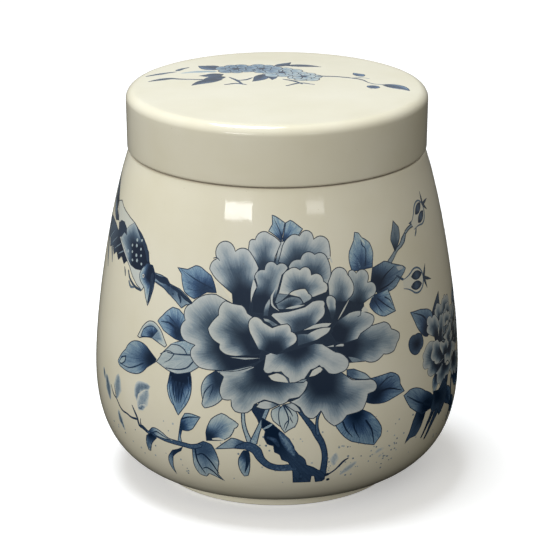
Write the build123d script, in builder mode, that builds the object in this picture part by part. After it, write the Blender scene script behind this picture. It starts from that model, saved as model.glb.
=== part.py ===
"""Lidded porcelain storage jar: a pot-bellied jar, a flat cap lid that slips over its neck, and the
silicone ring that seals the lid's inner collar against the mouth. Millimetres, +Z up, origin at the
centre of the foot, on the surface that the jar stands on."""

import os

from build123d import *

# Driving dimensions
TOTAL_HEIGHT = 130.0
BELLY_RADIUS = 60.0
BELLY_HEIGHT = 36.0
WALL = 4.0

FOOT_RADIUS = 39.0
FOOT_HEIGHT = 2.4
FOOT_WIDTH = 4.0
FOOT_ROUND = 0.5
FLOOR_THICKNESS = 4.6

SHOULDER_RADIUS = 47.9
SHOULDER_HEIGHT = 109.6
SHOULDER_ROUND = 0.9

NECK_OUTER_RADIUS = 43.4
MOUTH_RADIUS = 40.0
NECK_TOP = 125.2
NECK_FOOT_ROUND = 0.8
RIM_ROUND = 1.4

# Reach of the handles that shape the wall's curves: how full the belly is and how it leans in
FOOT_FLARE_OUT = 13.6
FOOT_FLARE_UP = 3.8
BELLY_FULLNESS_BELOW = 20.0
BELLY_FULLNESS_ABOVE = 18.0
SHOULDER_LEAN_OUT = 6.3
SHOULDER_LEAN_DOWN = 18.6
INNER_LEAN_OUT = 6.0
INNER_LEAN_DOWN = 18.0

# Inside, the mouth's straight wall turns softly into the throat, and the floor runs flat to a wide sweep
THROAT_BELOW_SHOULDER = 3.0
MOUTH_WALL_ABOVE_SHOULDER = 3.0
MOUTH_TURN_DROP = 3.5
THROAT_TURN_IN = 1.3
THROAT_TURN_RISE = 4.0
FLAT_FLOOR_RADIUS = 36.0
FLOOR_SWEEP_RADIUS = 52.0

LID_RADIUS = 48.6
LID_REST_GAP = 0.3
LID_DRAFT = 0.25
LID_CORNER_ROUND = 3.2
LID_CROWN = 0.7
LID_TOP_THICKNESS = 3.8
LID_SKIRT_THICKNESS = 4.1
LID_RIM_ROUND = 1.0
LID_INNER_ROUND = 1.5

COLLAR_OUTER_RADIUS = 38.2
COLLAR_INNER_RADIUS = 34.6
COLLAR_DEPTH = 10.5
COLLAR_RIM_ROUND = 1.0

GROOVE_DEPTH = 1.5
GROOVE_HEIGHT = 4.2
GROOVE_BELOW_TOP = 3.6

SEAL_LIP_GAP = 0.08
SEAL_GROOVE_GAP = 0.08
SEAL_FIN_COUNT = 3
SEAL_FIN_DEPTH = 0.9
SEAL_FIN_ROOT_WIDTH = 0.95
SEAL_FIN_TIP_WIDTH = 0.3

# Heights that follow from them
LID_RIM_HEIGHT = SHOULDER_HEIGHT + LID_REST_GAP
LID_CEILING = TOTAL_HEIGHT - LID_TOP_THICKNESS
COLLAR_RIM = LID_CEILING - COLLAR_DEPTH
GROOVE_TOP = LID_CEILING - GROOVE_BELOW_TOP
GROOVE_BOTTOM = GROOVE_TOP - GROOVE_HEIGHT
GROOVE_RADIUS = COLLAR_OUTER_RADIUS - GROOVE_DEPTH
FLOOR_HEIGHT = FOOT_HEIGHT + FLOOR_THICKNESS
THROAT_HEIGHT = SHOULDER_HEIGHT - THROAT_BELOW_SHOULDER
MOUTH_WALL_FOOT = SHOULDER_HEIGHT + MOUTH_WALL_ABOVE_SHOULDER

MATCH_TOLERANCE = 1e-4


def round_corners(profile, radius, *corners):
    """Fillets the profile's corners that stand at these (radius, height) points."""
    for x, y in corners:
        found = [
            v
            for v in profile.vertices()
            if abs(v.X - x) < MATCH_TOLERANCE and abs(v.Y - y) < MATCH_TOLERANCE
        ]
        fillet(found, radius)


# Jar body: one cast and fired piece, with its foot ring, shoulder ledge and upright neck
with BuildPart() as jar_body:
    with BuildSketch(Plane.XZ) as body_profile:
        with BuildLine():
            foot_inner = FOOT_RADIUS - FOOT_WIDTH
            Polyline(
                (0, FOOT_HEIGHT),
                (foot_inner, FOOT_HEIGHT),
                (foot_inner, 0),
                (FOOT_RADIUS, 0),
                (FOOT_RADIUS, FOOT_HEIGHT),
            )
            # Outside: a low round belly that leans in to the shoulder
            Bezier(
                (FOOT_RADIUS, FOOT_HEIGHT),
                (FOOT_RADIUS + FOOT_FLARE_OUT, FOOT_HEIGHT + FOOT_FLARE_UP),
                (BELLY_RADIUS, BELLY_HEIGHT - BELLY_FULLNESS_BELOW),
                (BELLY_RADIUS, BELLY_HEIGHT),
            )
            Bezier(
                (BELLY_RADIUS, BELLY_HEIGHT),
                (BELLY_RADIUS, BELLY_HEIGHT + BELLY_FULLNESS_ABOVE),
                (SHOULDER_RADIUS + SHOULDER_LEAN_OUT, SHOULDER_HEIGHT - SHOULDER_LEAN_DOWN),
                (SHOULDER_RADIUS, SHOULDER_HEIGHT),
            )
            Polyline(
                (SHOULDER_RADIUS, SHOULDER_HEIGHT),
                (NECK_OUTER_RADIUS, SHOULDER_HEIGHT),
                (NECK_OUTER_RADIUS, NECK_TOP),
                (MOUTH_RADIUS, NECK_TOP),
                (MOUTH_RADIUS, MOUTH_WALL_FOOT),
            )
            # Inside: the same curve a wall's thickness in, with a soft turn into the neck
            inner_belly = BELLY_RADIUS - WALL
            throat_radius = SHOULDER_RADIUS - WALL
            Bezier(
                (MOUTH_RADIUS, MOUTH_WALL_FOOT),
                (MOUTH_RADIUS, MOUTH_WALL_FOOT - MOUTH_TURN_DROP),
                (throat_radius - THROAT_TURN_IN, THROAT_HEIGHT + THROAT_TURN_RISE),
                (throat_radius, THROAT_HEIGHT),
            )
            Bezier(
                (throat_radius, THROAT_HEIGHT),
                (throat_radius + INNER_LEAN_OUT, THROAT_HEIGHT - INNER_LEAN_DOWN),
                (inner_belly, BELLY_HEIGHT + BELLY_FULLNESS_ABOVE),
                (inner_belly, BELLY_HEIGHT),
            )
            Bezier(
                (inner_belly, BELLY_HEIGHT),
                (inner_belly, BELLY_HEIGHT - BELLY_FULLNESS_BELOW),
                (FLOOR_SWEEP_RADIUS, FLOOR_HEIGHT),
                (FLAT_FLOOR_RADIUS, FLOOR_HEIGHT),
            )
            Line((FLAT_FLOOR_RADIUS, FLOOR_HEIGHT), (0, FLOOR_HEIGHT))
            Line((0, FLOOR_HEIGHT), (0, FOOT_HEIGHT))
        make_face()
        round_corners(body_profile, FOOT_ROUND, (FOOT_RADIUS, 0), (foot_inner, 0))
        round_corners(body_profile, SHOULDER_ROUND, (SHOULDER_RADIUS, SHOULDER_HEIGHT))
        round_corners(body_profile, NECK_FOOT_ROUND, (NECK_OUTER_RADIUS, SHOULDER_HEIGHT))
        round_corners(body_profile, RIM_ROUND, (NECK_OUTER_RADIUS, NECK_TOP), (MOUTH_RADIUS, NECK_TOP))
    revolve(axis=Axis.Z)

# Lid: a flat cap with a deep skirt outside the neck and a grooved collar inside the mouth
with BuildPart() as lid:
    with BuildSketch(Plane.XZ) as lid_profile:
        crown_edge = (LID_RADIUS, TOTAL_HEIGHT - LID_CROWN)
        skirt_foot = (LID_RADIUS - LID_DRAFT, LID_RIM_HEIGHT)
        skirt_inner = LID_RADIUS - LID_SKIRT_THICKNESS
        with BuildLine():
            TangentArc((0, TOTAL_HEIGHT), crown_edge, tangent=(1, 0))
            Polyline(
                crown_edge,
                skirt_foot,
                (skirt_inner, LID_RIM_HEIGHT),
                (skirt_inner, LID_CEILING),
                (COLLAR_OUTER_RADIUS, LID_CEILING),
                (COLLAR_OUTER_RADIUS, GROOVE_TOP),
                (GROOVE_RADIUS, GROOVE_TOP),
                (GROOVE_RADIUS, GROOVE_BOTTOM),
                (COLLAR_OUTER_RADIUS, GROOVE_BOTTOM),
                (COLLAR_OUTER_RADIUS, COLLAR_RIM),
                (COLLAR_INNER_RADIUS, COLLAR_RIM),
                (COLLAR_INNER_RADIUS, LID_CEILING),
                (0, LID_CEILING),
                (0, TOTAL_HEIGHT),
            )
        make_face()
        round_corners(lid_profile, LID_CORNER_ROUND, crown_edge)
        round_corners(lid_profile, LID_RIM_ROUND, skirt_foot, (skirt_inner, LID_RIM_HEIGHT))
        round_corners(
            lid_profile, LID_INNER_ROUND, (skirt_inner, LID_CEILING), (COLLAR_INNER_RADIUS, LID_CEILING)
        )
        round_corners(
            lid_profile, COLLAR_RIM_ROUND, (COLLAR_OUTER_RADIUS, COLLAR_RIM), (COLLAR_INNER_RADIUS, COLLAR_RIM)
        )
    revolve(axis=Axis.Z)

# Seal ring: a silicone band in the collar's groove, with soft fins that wipe the mouth's wall
with BuildPart() as seal_ring:
    band_inner = GROOVE_RADIUS + SEAL_GROOVE_GAP
    band_outer = MOUTH_RADIUS - SEAL_LIP_GAP - SEAL_FIN_DEPTH
    band_foot = GROOVE_BOTTOM + SEAL_GROOVE_GAP
    band_height = GROOVE_HEIGHT - 2 * SEAL_GROOVE_GAP
    fin_pitch = band_height / SEAL_FIN_COUNT
    with BuildSketch(Plane.XZ) as seal_profile:
        with Locations((band_inner, band_foot)):
            Rectangle(band_outer - band_inner, band_height, align=(Align.MIN, Align.MIN))
        for fin in range(SEAL_FIN_COUNT):
            middle = band_foot + (fin + 0.5) * fin_pitch
            with BuildLine():
                Polyline(
                    (band_outer, middle - SEAL_FIN_ROOT_WIDTH / 2),
                    (band_outer + SEAL_FIN_DEPTH, middle - SEAL_FIN_TIP_WIDTH / 2),
                    (band_outer + SEAL_FIN_DEPTH, middle + SEAL_FIN_TIP_WIDTH / 2),
                    (band_outer, middle + SEAL_FIN_ROOT_WIDTH / 2),
                    close=True,
                )
            make_face()
    revolve(axis=Axis.Z)

os.makedirs("parts", exist_ok=True)
for name, piece in (("jar_body", jar_body), ("lid", lid), ("seal_ring", seal_ring)):
    piece.part.label = name
    export_step(piece.part, f"parts/{name}.step")
    print(name, "volume mm3", round(piece.part.volume))
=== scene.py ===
"""The looks of a lidded porcelain storage jar, glazed ivory and printed in cobalt blue.

The jar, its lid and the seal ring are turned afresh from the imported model's own profiles. The print, of
flowers and a bird, is flat artwork: shapes of arcs and strokes in millimetres, painted one over another. It
is laid round the wall and over the lid as thin films that carry the strength and grain of the ink.
"""

import math

import bpy
import numpy as np
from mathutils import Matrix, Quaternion, Vector
from mathutils.geometry import delaunay_2d_cdt


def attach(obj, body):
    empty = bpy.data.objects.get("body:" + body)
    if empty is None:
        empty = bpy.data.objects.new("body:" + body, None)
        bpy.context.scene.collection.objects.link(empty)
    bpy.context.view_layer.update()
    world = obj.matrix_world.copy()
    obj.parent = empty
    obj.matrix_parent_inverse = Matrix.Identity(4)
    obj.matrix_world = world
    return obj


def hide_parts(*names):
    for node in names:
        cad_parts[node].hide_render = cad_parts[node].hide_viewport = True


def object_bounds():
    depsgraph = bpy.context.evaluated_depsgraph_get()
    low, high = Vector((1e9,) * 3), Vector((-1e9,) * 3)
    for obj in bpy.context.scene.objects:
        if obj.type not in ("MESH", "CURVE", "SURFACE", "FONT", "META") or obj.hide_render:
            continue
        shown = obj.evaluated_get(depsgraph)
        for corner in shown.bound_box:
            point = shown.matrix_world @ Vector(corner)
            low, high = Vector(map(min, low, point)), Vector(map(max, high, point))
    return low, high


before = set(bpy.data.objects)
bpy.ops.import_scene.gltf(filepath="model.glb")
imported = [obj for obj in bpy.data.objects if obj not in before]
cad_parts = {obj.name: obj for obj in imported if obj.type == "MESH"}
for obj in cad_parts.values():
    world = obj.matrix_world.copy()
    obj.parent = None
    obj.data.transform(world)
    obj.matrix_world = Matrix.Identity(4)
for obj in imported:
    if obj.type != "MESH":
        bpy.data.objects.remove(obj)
cad_low, cad_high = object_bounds()

MM = 0.001
STEPS_AROUND = 192
CORNER_ANGLE = math.radians(24)
# A stretch this many times longer than the one beside it is a straight line, not part of a curve
STRAIGHT_RATIO = 3
# Points closer together than this are one point, and points nearer the axis than this are on it
SAME_POINT = 1e-7
ON_AXIS = 1e-6
# The print stands this far proud of the glaze, and its rim runs this deep into it
FILM_LIFT = 0.03 * MM
FILM_SINK = 0.05 * MM


# ---------------------------------------------------------------------------
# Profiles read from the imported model
# ---------------------------------------------------------------------------
def seam_chain(node):
    """The node's profile where it crosses y = 0: an ordered chain of (radius, height) points, in metres."""
    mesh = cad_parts[node].data
    on_seam = [abs(v.co.y) < SAME_POINT and v.co.x > -SAME_POINT for v in mesh.vertices]
    place = [(round(v.co.x, 6), round(v.co.z, 6)) for v in mesh.vertices]
    links = {}
    for edge in mesh.edges:
        a, b = edge.vertices
        if on_seam[a] and on_seam[b] and place[a] != place[b]:
            links.setdefault(place[a], set()).add(place[b])
            links.setdefault(place[b], set()).add(place[a])
    ends = [p for p in links if len(links[p]) == 1]
    chain = [min(ends) if ends else min(links)]
    while True:
        ahead = [p for p in sorted(links[chain[-1]]) if p not in chain[-2:] and p != chain[0]]
        if not ahead:
            break
        chain.append(ahead[0])
    if ends:
        # A flat disc closes the profile to the axis at an open end
        chain = [(0.0, chain[0][1])] + chain + [(0.0, chain[-1][1])]
    return drop_repeats(np.array(chain))


def drop_repeats(points):
    """The chain without points that repeat the one before."""
    step = np.hypot(*np.diff(points, axis=0).T)
    return points[np.concatenate([[True], step > SAME_POINT])]


def corner_indices(points, closed):
    """Where the chain turns by more than a corner's angle."""
    before = points - np.roll(points, 1, axis=0)
    after = np.roll(points, -1, axis=0) - points
    cross = before[:, 0] * after[:, 1] - before[:, 1] * after[:, 0]
    dot = (before * after).sum(axis=1)
    sharp = np.abs(np.arctan2(cross, dot)) > CORNER_ANGLE
    if not closed:
        sharp[[0, -1]] = True
    return np.flatnonzero(sharp)


def smooth_run(points, longest):
    """A finer chain along one corner-free run: a cubic through its points, exact at each of them."""
    if len(points) < 3:
        return points
    gap = np.hypot(*np.diff(points, axis=0).T)
    slope = np.diff(points, axis=0) / gap[:, None]
    weight = (gap[1:] / (gap[1:] + gap[:-1]))[:, None]
    middle = slope[:-1] * weight + slope[1:] * (1 - weight)
    tangent = np.vstack([2 * slope[0] - middle[0], middle, 2 * slope[-1] - middle[-1]])
    beside = np.minimum(np.concatenate([[np.inf], gap[:-1]]), np.concatenate([gap[1:], [np.inf]]))
    straight = gap > STRAIGHT_RATIO * beside
    for i in np.flatnonzero(straight):
        tangent[i] = slope[i]
        tangent[i + 1] = slope[i]
    fine = []
    for i, length in enumerate(gap):
        count = max(1, math.ceil(length / longest))
        t = (np.arange(count) / count)[:, None]
        hermite = (
            (2 * t**3 - 3 * t**2 + 1) * points[i]
            + (t**3 - 2 * t**2 + t) * length * tangent[i]
            + (3 * t**2 - 2 * t**3) * points[i + 1]
            + (t**3 - t**2) * length * tangent[i + 1]
        )
        fine.append(hermite)
    return np.vstack(fine + [points[-1:]])


def turned_profile(node, longest=2.0 * MM):
    """The node's whole profile, made fine and smooth between its corners, running anticlockwise."""
    points = seam_chain(node)
    closed = points[0][0] > ON_AXIS
    if closed:
        first = corner_indices(points, True)[0]
        points = np.vstack([np.roll(points, -first, axis=0), points[first : first + 1]])
    corners = corner_indices(points, False)
    runs = [smooth_run(points[a : b + 1], longest) for a, b in zip(corners, corners[1:])]
    profile = np.vstack([run[:-1] for run in runs] + [points[-1:]])
    x, y = profile.T
    if (x[:-1] * y[1:] - x[1:] * y[:-1]).sum() < 0:
        profile = profile[::-1]
    return profile


class Skin:
    """A turned surface that artwork is laid on: the stretch of a profile after a chosen corner."""

    def __init__(self, profile, start, outwards):
        corners = corner_indices(profile, False)
        nearest = min(corners, key=lambda i: math.hypot(*(profile[i] - start)))
        line = profile[nearest:] if outwards else profile[: nearest + 1][::-1]
        line = drop_repeats(line)
        step = np.hypot(*np.diff(line, axis=0).T)
        self.length = np.concatenate([[0.0], np.cumsum(step)])
        self.line = line
        tangent = np.gradient(line, self.length, axis=0)
        normal = np.stack([tangent[:, 1], -tangent[:, 0]], axis=1)
        self.normal = normal if outwards else -normal

    def at(self, along):
        """Radius, height and outward normal at a distance along the profile."""
        r, z, nr, nz = (
            np.interp(along, self.length, column)
            for column in (*self.line.T, *self.normal.T)
        )
        size = np.hypot(nr, nz)
        return r, z, nr / size, nz / size


def turned_mesh(name, profile):
    """A lathe-turned mesh of the profile, smooth apart from its corners."""
    turns = np.arange(STEPS_AROUND) * (2 * math.pi / STEPS_AROUND)
    closed = profile[0][0] > ON_AXIS
    vertices, rings = [], []
    for radius, height in profile[:-1] if closed else profile:
        if radius < ON_AXIS:
            rings.append([len(vertices)] * STEPS_AROUND)
            vertices.append((0.0, 0.0, height))
            continue
        rings.append(range(len(vertices), len(vertices) + STEPS_AROUND))
        vertices.extend((radius * math.cos(a), radius * math.sin(a), height) for a in turns)
    if closed:
        rings.append(rings[0])
    faces = []
    for low, high in zip(rings, rings[1:]):
        for i in range(STEPS_AROUND):
            j = (i + 1) % STEPS_AROUND
            corners = dict.fromkeys((low[i], low[j], high[j], high[i]))
            faces.append(tuple(corners))
    mesh = bpy.data.meshes.new(name)
    mesh.from_pydata(vertices, [], faces)
    mesh.shade_smooth()
    mesh.set_sharp_from_angle(angle=CORNER_ANGLE)
    return add_piece(name, mesh)


def add_piece(name, mesh):
    """Puts a mesh into the scene as a piece of that name."""
    piece = bpy.data.objects.new(name, mesh)
    bpy.context.scene.collection.objects.link(piece)
    return piece


# ---------------------------------------------------------------------------
# Flat artwork in millimetres
# ---------------------------------------------------------------------------
# The spacing of points along a line, and of the grid of points that fills the shapes
LINE_STEP = 0.7
FILL_STEP = 1.1
# Ink strength runs from 0 for the bare glaze to 1 for the darkest blue
OUTLINE = 0.30
OUTLINE_INK = 0.93
THINNEST_CORE = 0.12
# The widths of a leaf's veins, from foot to tip
MIDRIB = (0.30, 0.22, 0.10)
SIDE_VEIN = (0.20, 0.14, 0.06)
# Where the side veins start, how much of the leaf they take up, and their reach as a share of its half width
FIRST_VEIN = 0.18
VEINED = 0.6
VEIN_REACH = 0.8
# Points of the artwork closer than this are joined, and triangles thinner than this are left out
JOIN = 1e-5
THINNEST = 1e-7
# Each shape's grain starts this much further on than the last one's, so that no two share their streaks
GRAIN_SHIFT = 3.7


def unit(vectors):
    """A vector, or each row of an array of them, at length one."""
    return vectors / np.maximum(1e-9, np.linalg.norm(vectors, axis=-1, keepdims=True))


def left_of(vectors):
    """A vector, or each row of an array of them, turned a quarter turn to the left."""
    return np.stack([-vectors[..., 1], vectors[..., 0]], axis=-1)


def arc(start, end, bulge):
    """Points from start up to end along an arc that bows to the right by bulge times half the chord."""
    chord = end - start
    length = math.hypot(*chord)
    count = max(2, math.ceil(length * (1 + bulge * bulge) / LINE_STEP))
    t = np.arange(count) / count
    if abs(bulge) < 0.01:
        return start + t[:, None] * chord
    half_turn = 2 * math.atan(bulge)
    radius = length / (2 * math.sin(half_turn))
    angle = (2 * t - 1) * half_turn
    along = unit(chord)
    right = -left_of(along)
    middle = (start + end) / 2
    sideways = radius * (np.cos(angle) - math.cos(half_turn))
    return middle + np.outer(radius * np.sin(angle), along) + np.outer(sideways, right)


def bulged(corners):
    """A closed outline through corners of (x, y) or (x, y, bulge).

    The side that leaves a corner bows outwards by its bulge, a share of half the side's length, so 1 makes a
    half circle and 0 a straight side.
    """
    points = [np.array(c[:2], float) for c in corners]
    bulges = [c[2] if len(c) > 2 else 0.0 for c in corners]
    following = points[1:] + points[:1]
    area = sum(a[0] * b[1] - b[0] * a[1] for a, b in zip(points, following))
    outward = 1 if area > 0 else -1
    sides = [arc(a, b, outward * bulge) for a, b, bulge in zip(points, following, bulges)]
    return np.vstack(sides)


def inset(outline, width):
    """The outline moved inwards by a width, which may change from point to point."""
    before = np.roll(outline, 1, axis=0)
    after = np.roll(outline, -1, axis=0)
    x, y = outline.T
    area = (x * np.roll(y, -1) - np.roll(x, -1) * y).sum()
    inward = left_of(unit(after - before)) * (1 if area > 0 else -1)
    return outline + inward * np.broadcast_to(width, len(outline))[:, None]


def curve_through(points, step=LINE_STEP):
    """A smooth line through given points."""
    points = np.array(points, float)
    padded = np.vstack([2 * points[0] - points[1], points, 2 * points[-1] - points[-2]])
    line = []
    for a, b, c, d in zip(padded, padded[1:], padded[2:], padded[3:]):
        count = max(2, math.ceil(math.hypot(*(c - b)[:2]) / step))
        t = (np.arange(count) / count)[:, None]
        bend = 2 * a - 5 * b + 4 * c - d
        twist = 3 * b - a - 3 * c + d
        line.append(0.5 * (2 * b + (c - a) * t + bend * t**2 + twist * t**3))
    return np.vstack(line + [points[-1:]])


def spread(values, count):
    """A few values, set at even steps, drawn out to a longer even row."""
    return np.interp(np.linspace(0, 1, count), np.linspace(0, 1, len(values)), values)


def ribbon(line, half_width):
    """The closed outline of a stroke along a line, with round ends."""
    tangent = unit(np.gradient(line, axis=0))
    side = left_of(tangent) * half_width[:, None]
    tip = line[-1] + tangent[-1] * half_width[-1]
    tail = line[0] - tangent[0] * half_width[0]
    return np.vstack([line + side, tip[None], (line - side)[::-1], tail[None]])


def inside(points, outline):
    """Which of the points the outline holds."""
    x, y = points[:, 0, None], points[:, 1, None]
    x0, y0 = outline.T
    x1, y1 = np.roll(outline, -1, axis=0).T
    crosses = (y0 > y) != (y1 > y)
    rise = np.where(y1 == y0, 1e-12, y1 - y0)
    return (crosses & (x < x0 + (y - y0) * (x1 - x0) / rise)).sum(axis=1) % 2 == 1


def smoothstep(low, high, value):
    """0 below low, 1 above high, and an even rise between them."""
    t = np.clip((value - low) / (high - low), 0, 1)
    return t * t * (3 - 2 * t)


class Flat:
    """One ink strength all over, with an even grain."""

    def __init__(self, ink):
        self.ink = ink

    def __call__(self, points):
        return np.full(len(points), self.ink), points


class FromHeart:
    """Dark at a petal's heart and pale along its rim, in lines that fan out from the heart."""

    # The part of the outline this far out, as a share of its farthest point, is the petal's pale rim
    RIM = 0.5
    # The shading runs on a little past the rim, so that rims stay a soft grey
    REACH = 1.12
    # How fast the streaks change outwards, against how fast they change from spoke to spoke
    STREAK = 0.12

    def __init__(self, outline, heart, dark, pale, start, stop):
        self.heart = np.array(heart, float)
        self.dark, self.pale, self.start, self.stop = dark, pale, start, stop
        reach = np.hypot(*(outline - self.heart).T)
        far = reach > self.RIM * reach.max()
        self.rim = outline[far]
        self.size = reach[far].mean()

    def __call__(self, points):
        spokes = points - self.heart
        turn = np.arctan2(spokes[:, 1], spokes[:, 0])
        reach = np.hypot(*spokes.T)
        to_rim = np.hypot(*(points[:, None, :] - self.rim[None]).transpose(2, 0, 1)).min(axis=1)
        share = reach / (reach + to_rim) / self.REACH
        ink = self.dark + (self.pale - self.dark) * smoothstep(self.start, self.stop, share)
        grain = np.stack([turn * self.size, reach * self.STREAK], axis=1)
        return ink, grain


class AlongLeaf:
    """Dark at a leaf's foot and midrib, paler towards its margin and tip, with one half lighter."""

    # The margin lies this far from the midrib, as a share of the leaf's length
    MARGIN = 0.3
    # How much the way to the tip and the way to the margin each pale the leaf
    TO_TIP = 0.62
    TO_MARGIN = 0.55
    # How fast the streaks change along the leaf, and how far apart the grains of its two halves are
    STREAK = 0.15
    OTHER_HALF = 7

    def __init__(self, spine, dark, pale, fold):
        self.spine, self.dark, self.pale, self.fold = spine, dark, pale, fold
        self.side = left_of(unit(np.gradient(spine, axis=0)))
        self.span = math.hypot(*(spine[-1] - spine[0]))

    def __call__(self, points):
        gap = points[:, None, :] - self.spine[None]
        nearest = np.argmin((gap**2).sum(axis=2), axis=1)
        row = np.arange(len(points))
        off = (gap[row, nearest] * self.side[nearest]).sum(axis=1)
        share = nearest / (len(self.spine) - 1)
        across = np.abs(off) / (self.MARGIN * self.span)
        tone = smoothstep(0.05, 1.0, self.TO_TIP * share + self.TO_MARGIN * across)
        ink = self.dark + (self.pale - self.dark) * tone
        ink = ink - self.fold * (off > 0)
        grain = np.stack([off, share * self.span * self.STREAK + self.OTHER_HALF * (off > 0)], axis=1)
        return np.clip(ink, 0, 1), grain


class SoftEdge:
    """A soft brush mark: its own ink along its middle, fading to the ink of the ground at its edge."""

    # The fade starts this far out, as a share of the half width, and ends this near to the ground's ink
    FADE_FROM = 0.3
    FADE_TO = 0.85

    def __init__(self, line, half_width, ink, ground):
        self.line, self.half_width, self.ink, self.ground = line, half_width, ink, ground

    def __call__(self, points):
        gap = np.hypot(*(points[:, None, :] - self.line[None]).transpose(2, 0, 1))
        nearest = gap.argmin(axis=1)
        share = gap.min(axis=1) / self.half_width[nearest]
        fade = self.FADE_TO * smoothstep(self.FADE_FROM, 1.0, share)
        return self.ink + (self.ground - self.ink) * fade, points


class Artwork:
    """Shapes painted in order, later ones over earlier ones. Each belongs to a named print."""

    def __init__(self):
        self.shapes = []
        self.part = None
        self.move_to()

    def move_to(self, across=0.0, up=0.0, scale=1.0, turn=0.0):
        """Whatever is drawn next is scaled, turned by degrees and set down at (across, up)."""
        cosine = math.cos(math.radians(turn)) * scale
        sine = math.sin(math.radians(turn)) * scale
        self.axes = np.array([[cosine, -sine], [sine, cosine]])
        self.origin = np.array([across, up], float)
        self.scale = scale

    def spot(self, points):
        """Where drawn points land on the surface."""
        return np.asarray(points, float) @ self.axes.T + self.origin

    def placed(self, corners):
        """A list of corners where they land, each with its bulge."""
        return [(*self.spot(c[:2]), c[2] if len(c) > 2 else 0.0) for c in corners]

    def paint(self, outline, tone, tint=0.0):
        """Adds a closed outline. tint is 0 for the grey of petals and 1 for the blue of leaves."""
        self.shapes.append((outline, tone, tint, self.part))

    def patch(self, corners, ink, tint=0.0):
        """An even patch without a line round it, its corners joined by arcs."""
        self.paint(bulged(self.placed(corners)), Flat(ink), tint)

    def petal(self, heart, corners, dark=0.9, pale=0.16, start=0.25, stop=0.92, line=OUTLINE, tint=0.0):
        """A petal inside a thin line, its corners joined by arcs, dark at its heart and pale at its rim.

        start and stop say where on the way to the rim the paling begins and ends.
        """
        edge = bulged(self.placed(corners))
        self.paint(edge, Flat(OUTLINE_INK), tint)
        inner = inset(edge, line * self.scale)
        self.paint(inner, FromHeart(inner, self.spot(heart), dark, pale, start, stop), tint)

    def foliage(self, heart, corners, dark=0.92, pale=0.34, start=0.15, stop=0.95, tint=1.0):
        """A leaf drawn as a petal is, in blue."""
        self.petal(heart, corners, dark, pale, start, stop, OUTLINE, tint)

    def stroke(self, points, widths, ink=0.9, tint=0.5):
        """A brush line through points, with widths set at even steps along it."""
        line, half_width = self.swept(points, widths)
        self.paint(ribbon(line, half_width), Flat(ink), tint)

    def brush(self, points, widths, ink, tint=0.3, ground=0.0):
        """A brush line that fades at its edges into a ground of a given ink."""
        line, half_width = self.swept(points, widths)
        self.paint(ribbon(line, half_width), SoftEdge(line, half_width, ink, ground), tint)

    def swept(self, points, widths):
        """The smooth line through the points, and half the brush's width all along it."""
        line = curve_through(self.spot(points))
        return line, spread(widths, len(line)) / 2 * self.scale

    def stem(self, points, widths, ink=0.55, tint=0.4):
        """A stalk: a dark brush line with a paler core."""
        self.stroke(points, widths, OUTLINE_INK, tint)
        core = [max(THINNEST_CORE, w - 2.2 * OUTLINE) for w in widths]
        self.stroke(points, core, ink, tint)

    def leaf(self, foot, tip, width, bend=0.0, dark=0.85, pale=0.4, fold=0.12, veins=4, tint=1.0):
        """A pointed leaf from foot to tip, bent sideways by a share of its length, with its veins.

        fold is how much lighter its left half is.
        """
        foot = self.spot(foot)
        tip = self.spot(tip)
        chord = tip - foot
        bow = foot + tip + 4 * bend * left_of(chord)
        t = np.linspace(0, 1, max(9, math.ceil(math.hypot(*chord) / LINE_STEP)))[:, None]
        spine = (1 - t) ** 2 * foot + t * (1 - t) * bow + t**2 * tip
        share = t[:, 0]
        # Widest before its middle, then tapering to a long tip
        half = 0.5 * width * self.scale * np.sin(math.pi * share**0.8) ** 0.85 * (1 - 0.25 * share**3)
        half = np.maximum(half, 0.05)
        edge = ribbon(spine, half)
        self.paint(edge, Flat(OUTLINE_INK), tint)
        self.paint(inset(edge, OUTLINE * 0.9), AlongLeaf(spine, dark, pale, fold), tint)
        self.vein(spine, MIDRIB, 0.95, tint)
        tangent = np.gradient(spine, axis=0)
        for i in range(veins):
            k = int((FIRST_VEIN + VEINED * i / veins) * (len(spine) - 1))
            along = unit(tangent[k])
            reach = half[k] * VEIN_REACH
            for side in (-1, 1):
                across = left_of(along) * side
                end = spine[k] + (across + along * 0.9) * reach
                bend_point = (spine[k] + end) / 2 - along * reach * 0.12
                self.vein([spine[k], bend_point, end], SIDE_VEIN, min(1.0, dark + 0.08), tint)

    def vein(self, points, widths, ink, tint):
        """A thin line through points that are already where they belong."""
        line = curve_through(points, 2 * LINE_STEP)
        self.paint(ribbon(line, spread(widths, len(line)) / 2), Flat(ink), tint)

    def dot(self, x, y, size, ink, tint=0.3):
        """A small round speck."""
        turn = np.linspace(0, 2 * math.pi, 9)[:-1]
        ring = np.stack([np.cos(turn), np.sin(turn)], axis=1) * size / 2 * self.scale
        self.paint(ring + self.spot((x, y)), Flat(ink), tint)


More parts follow.
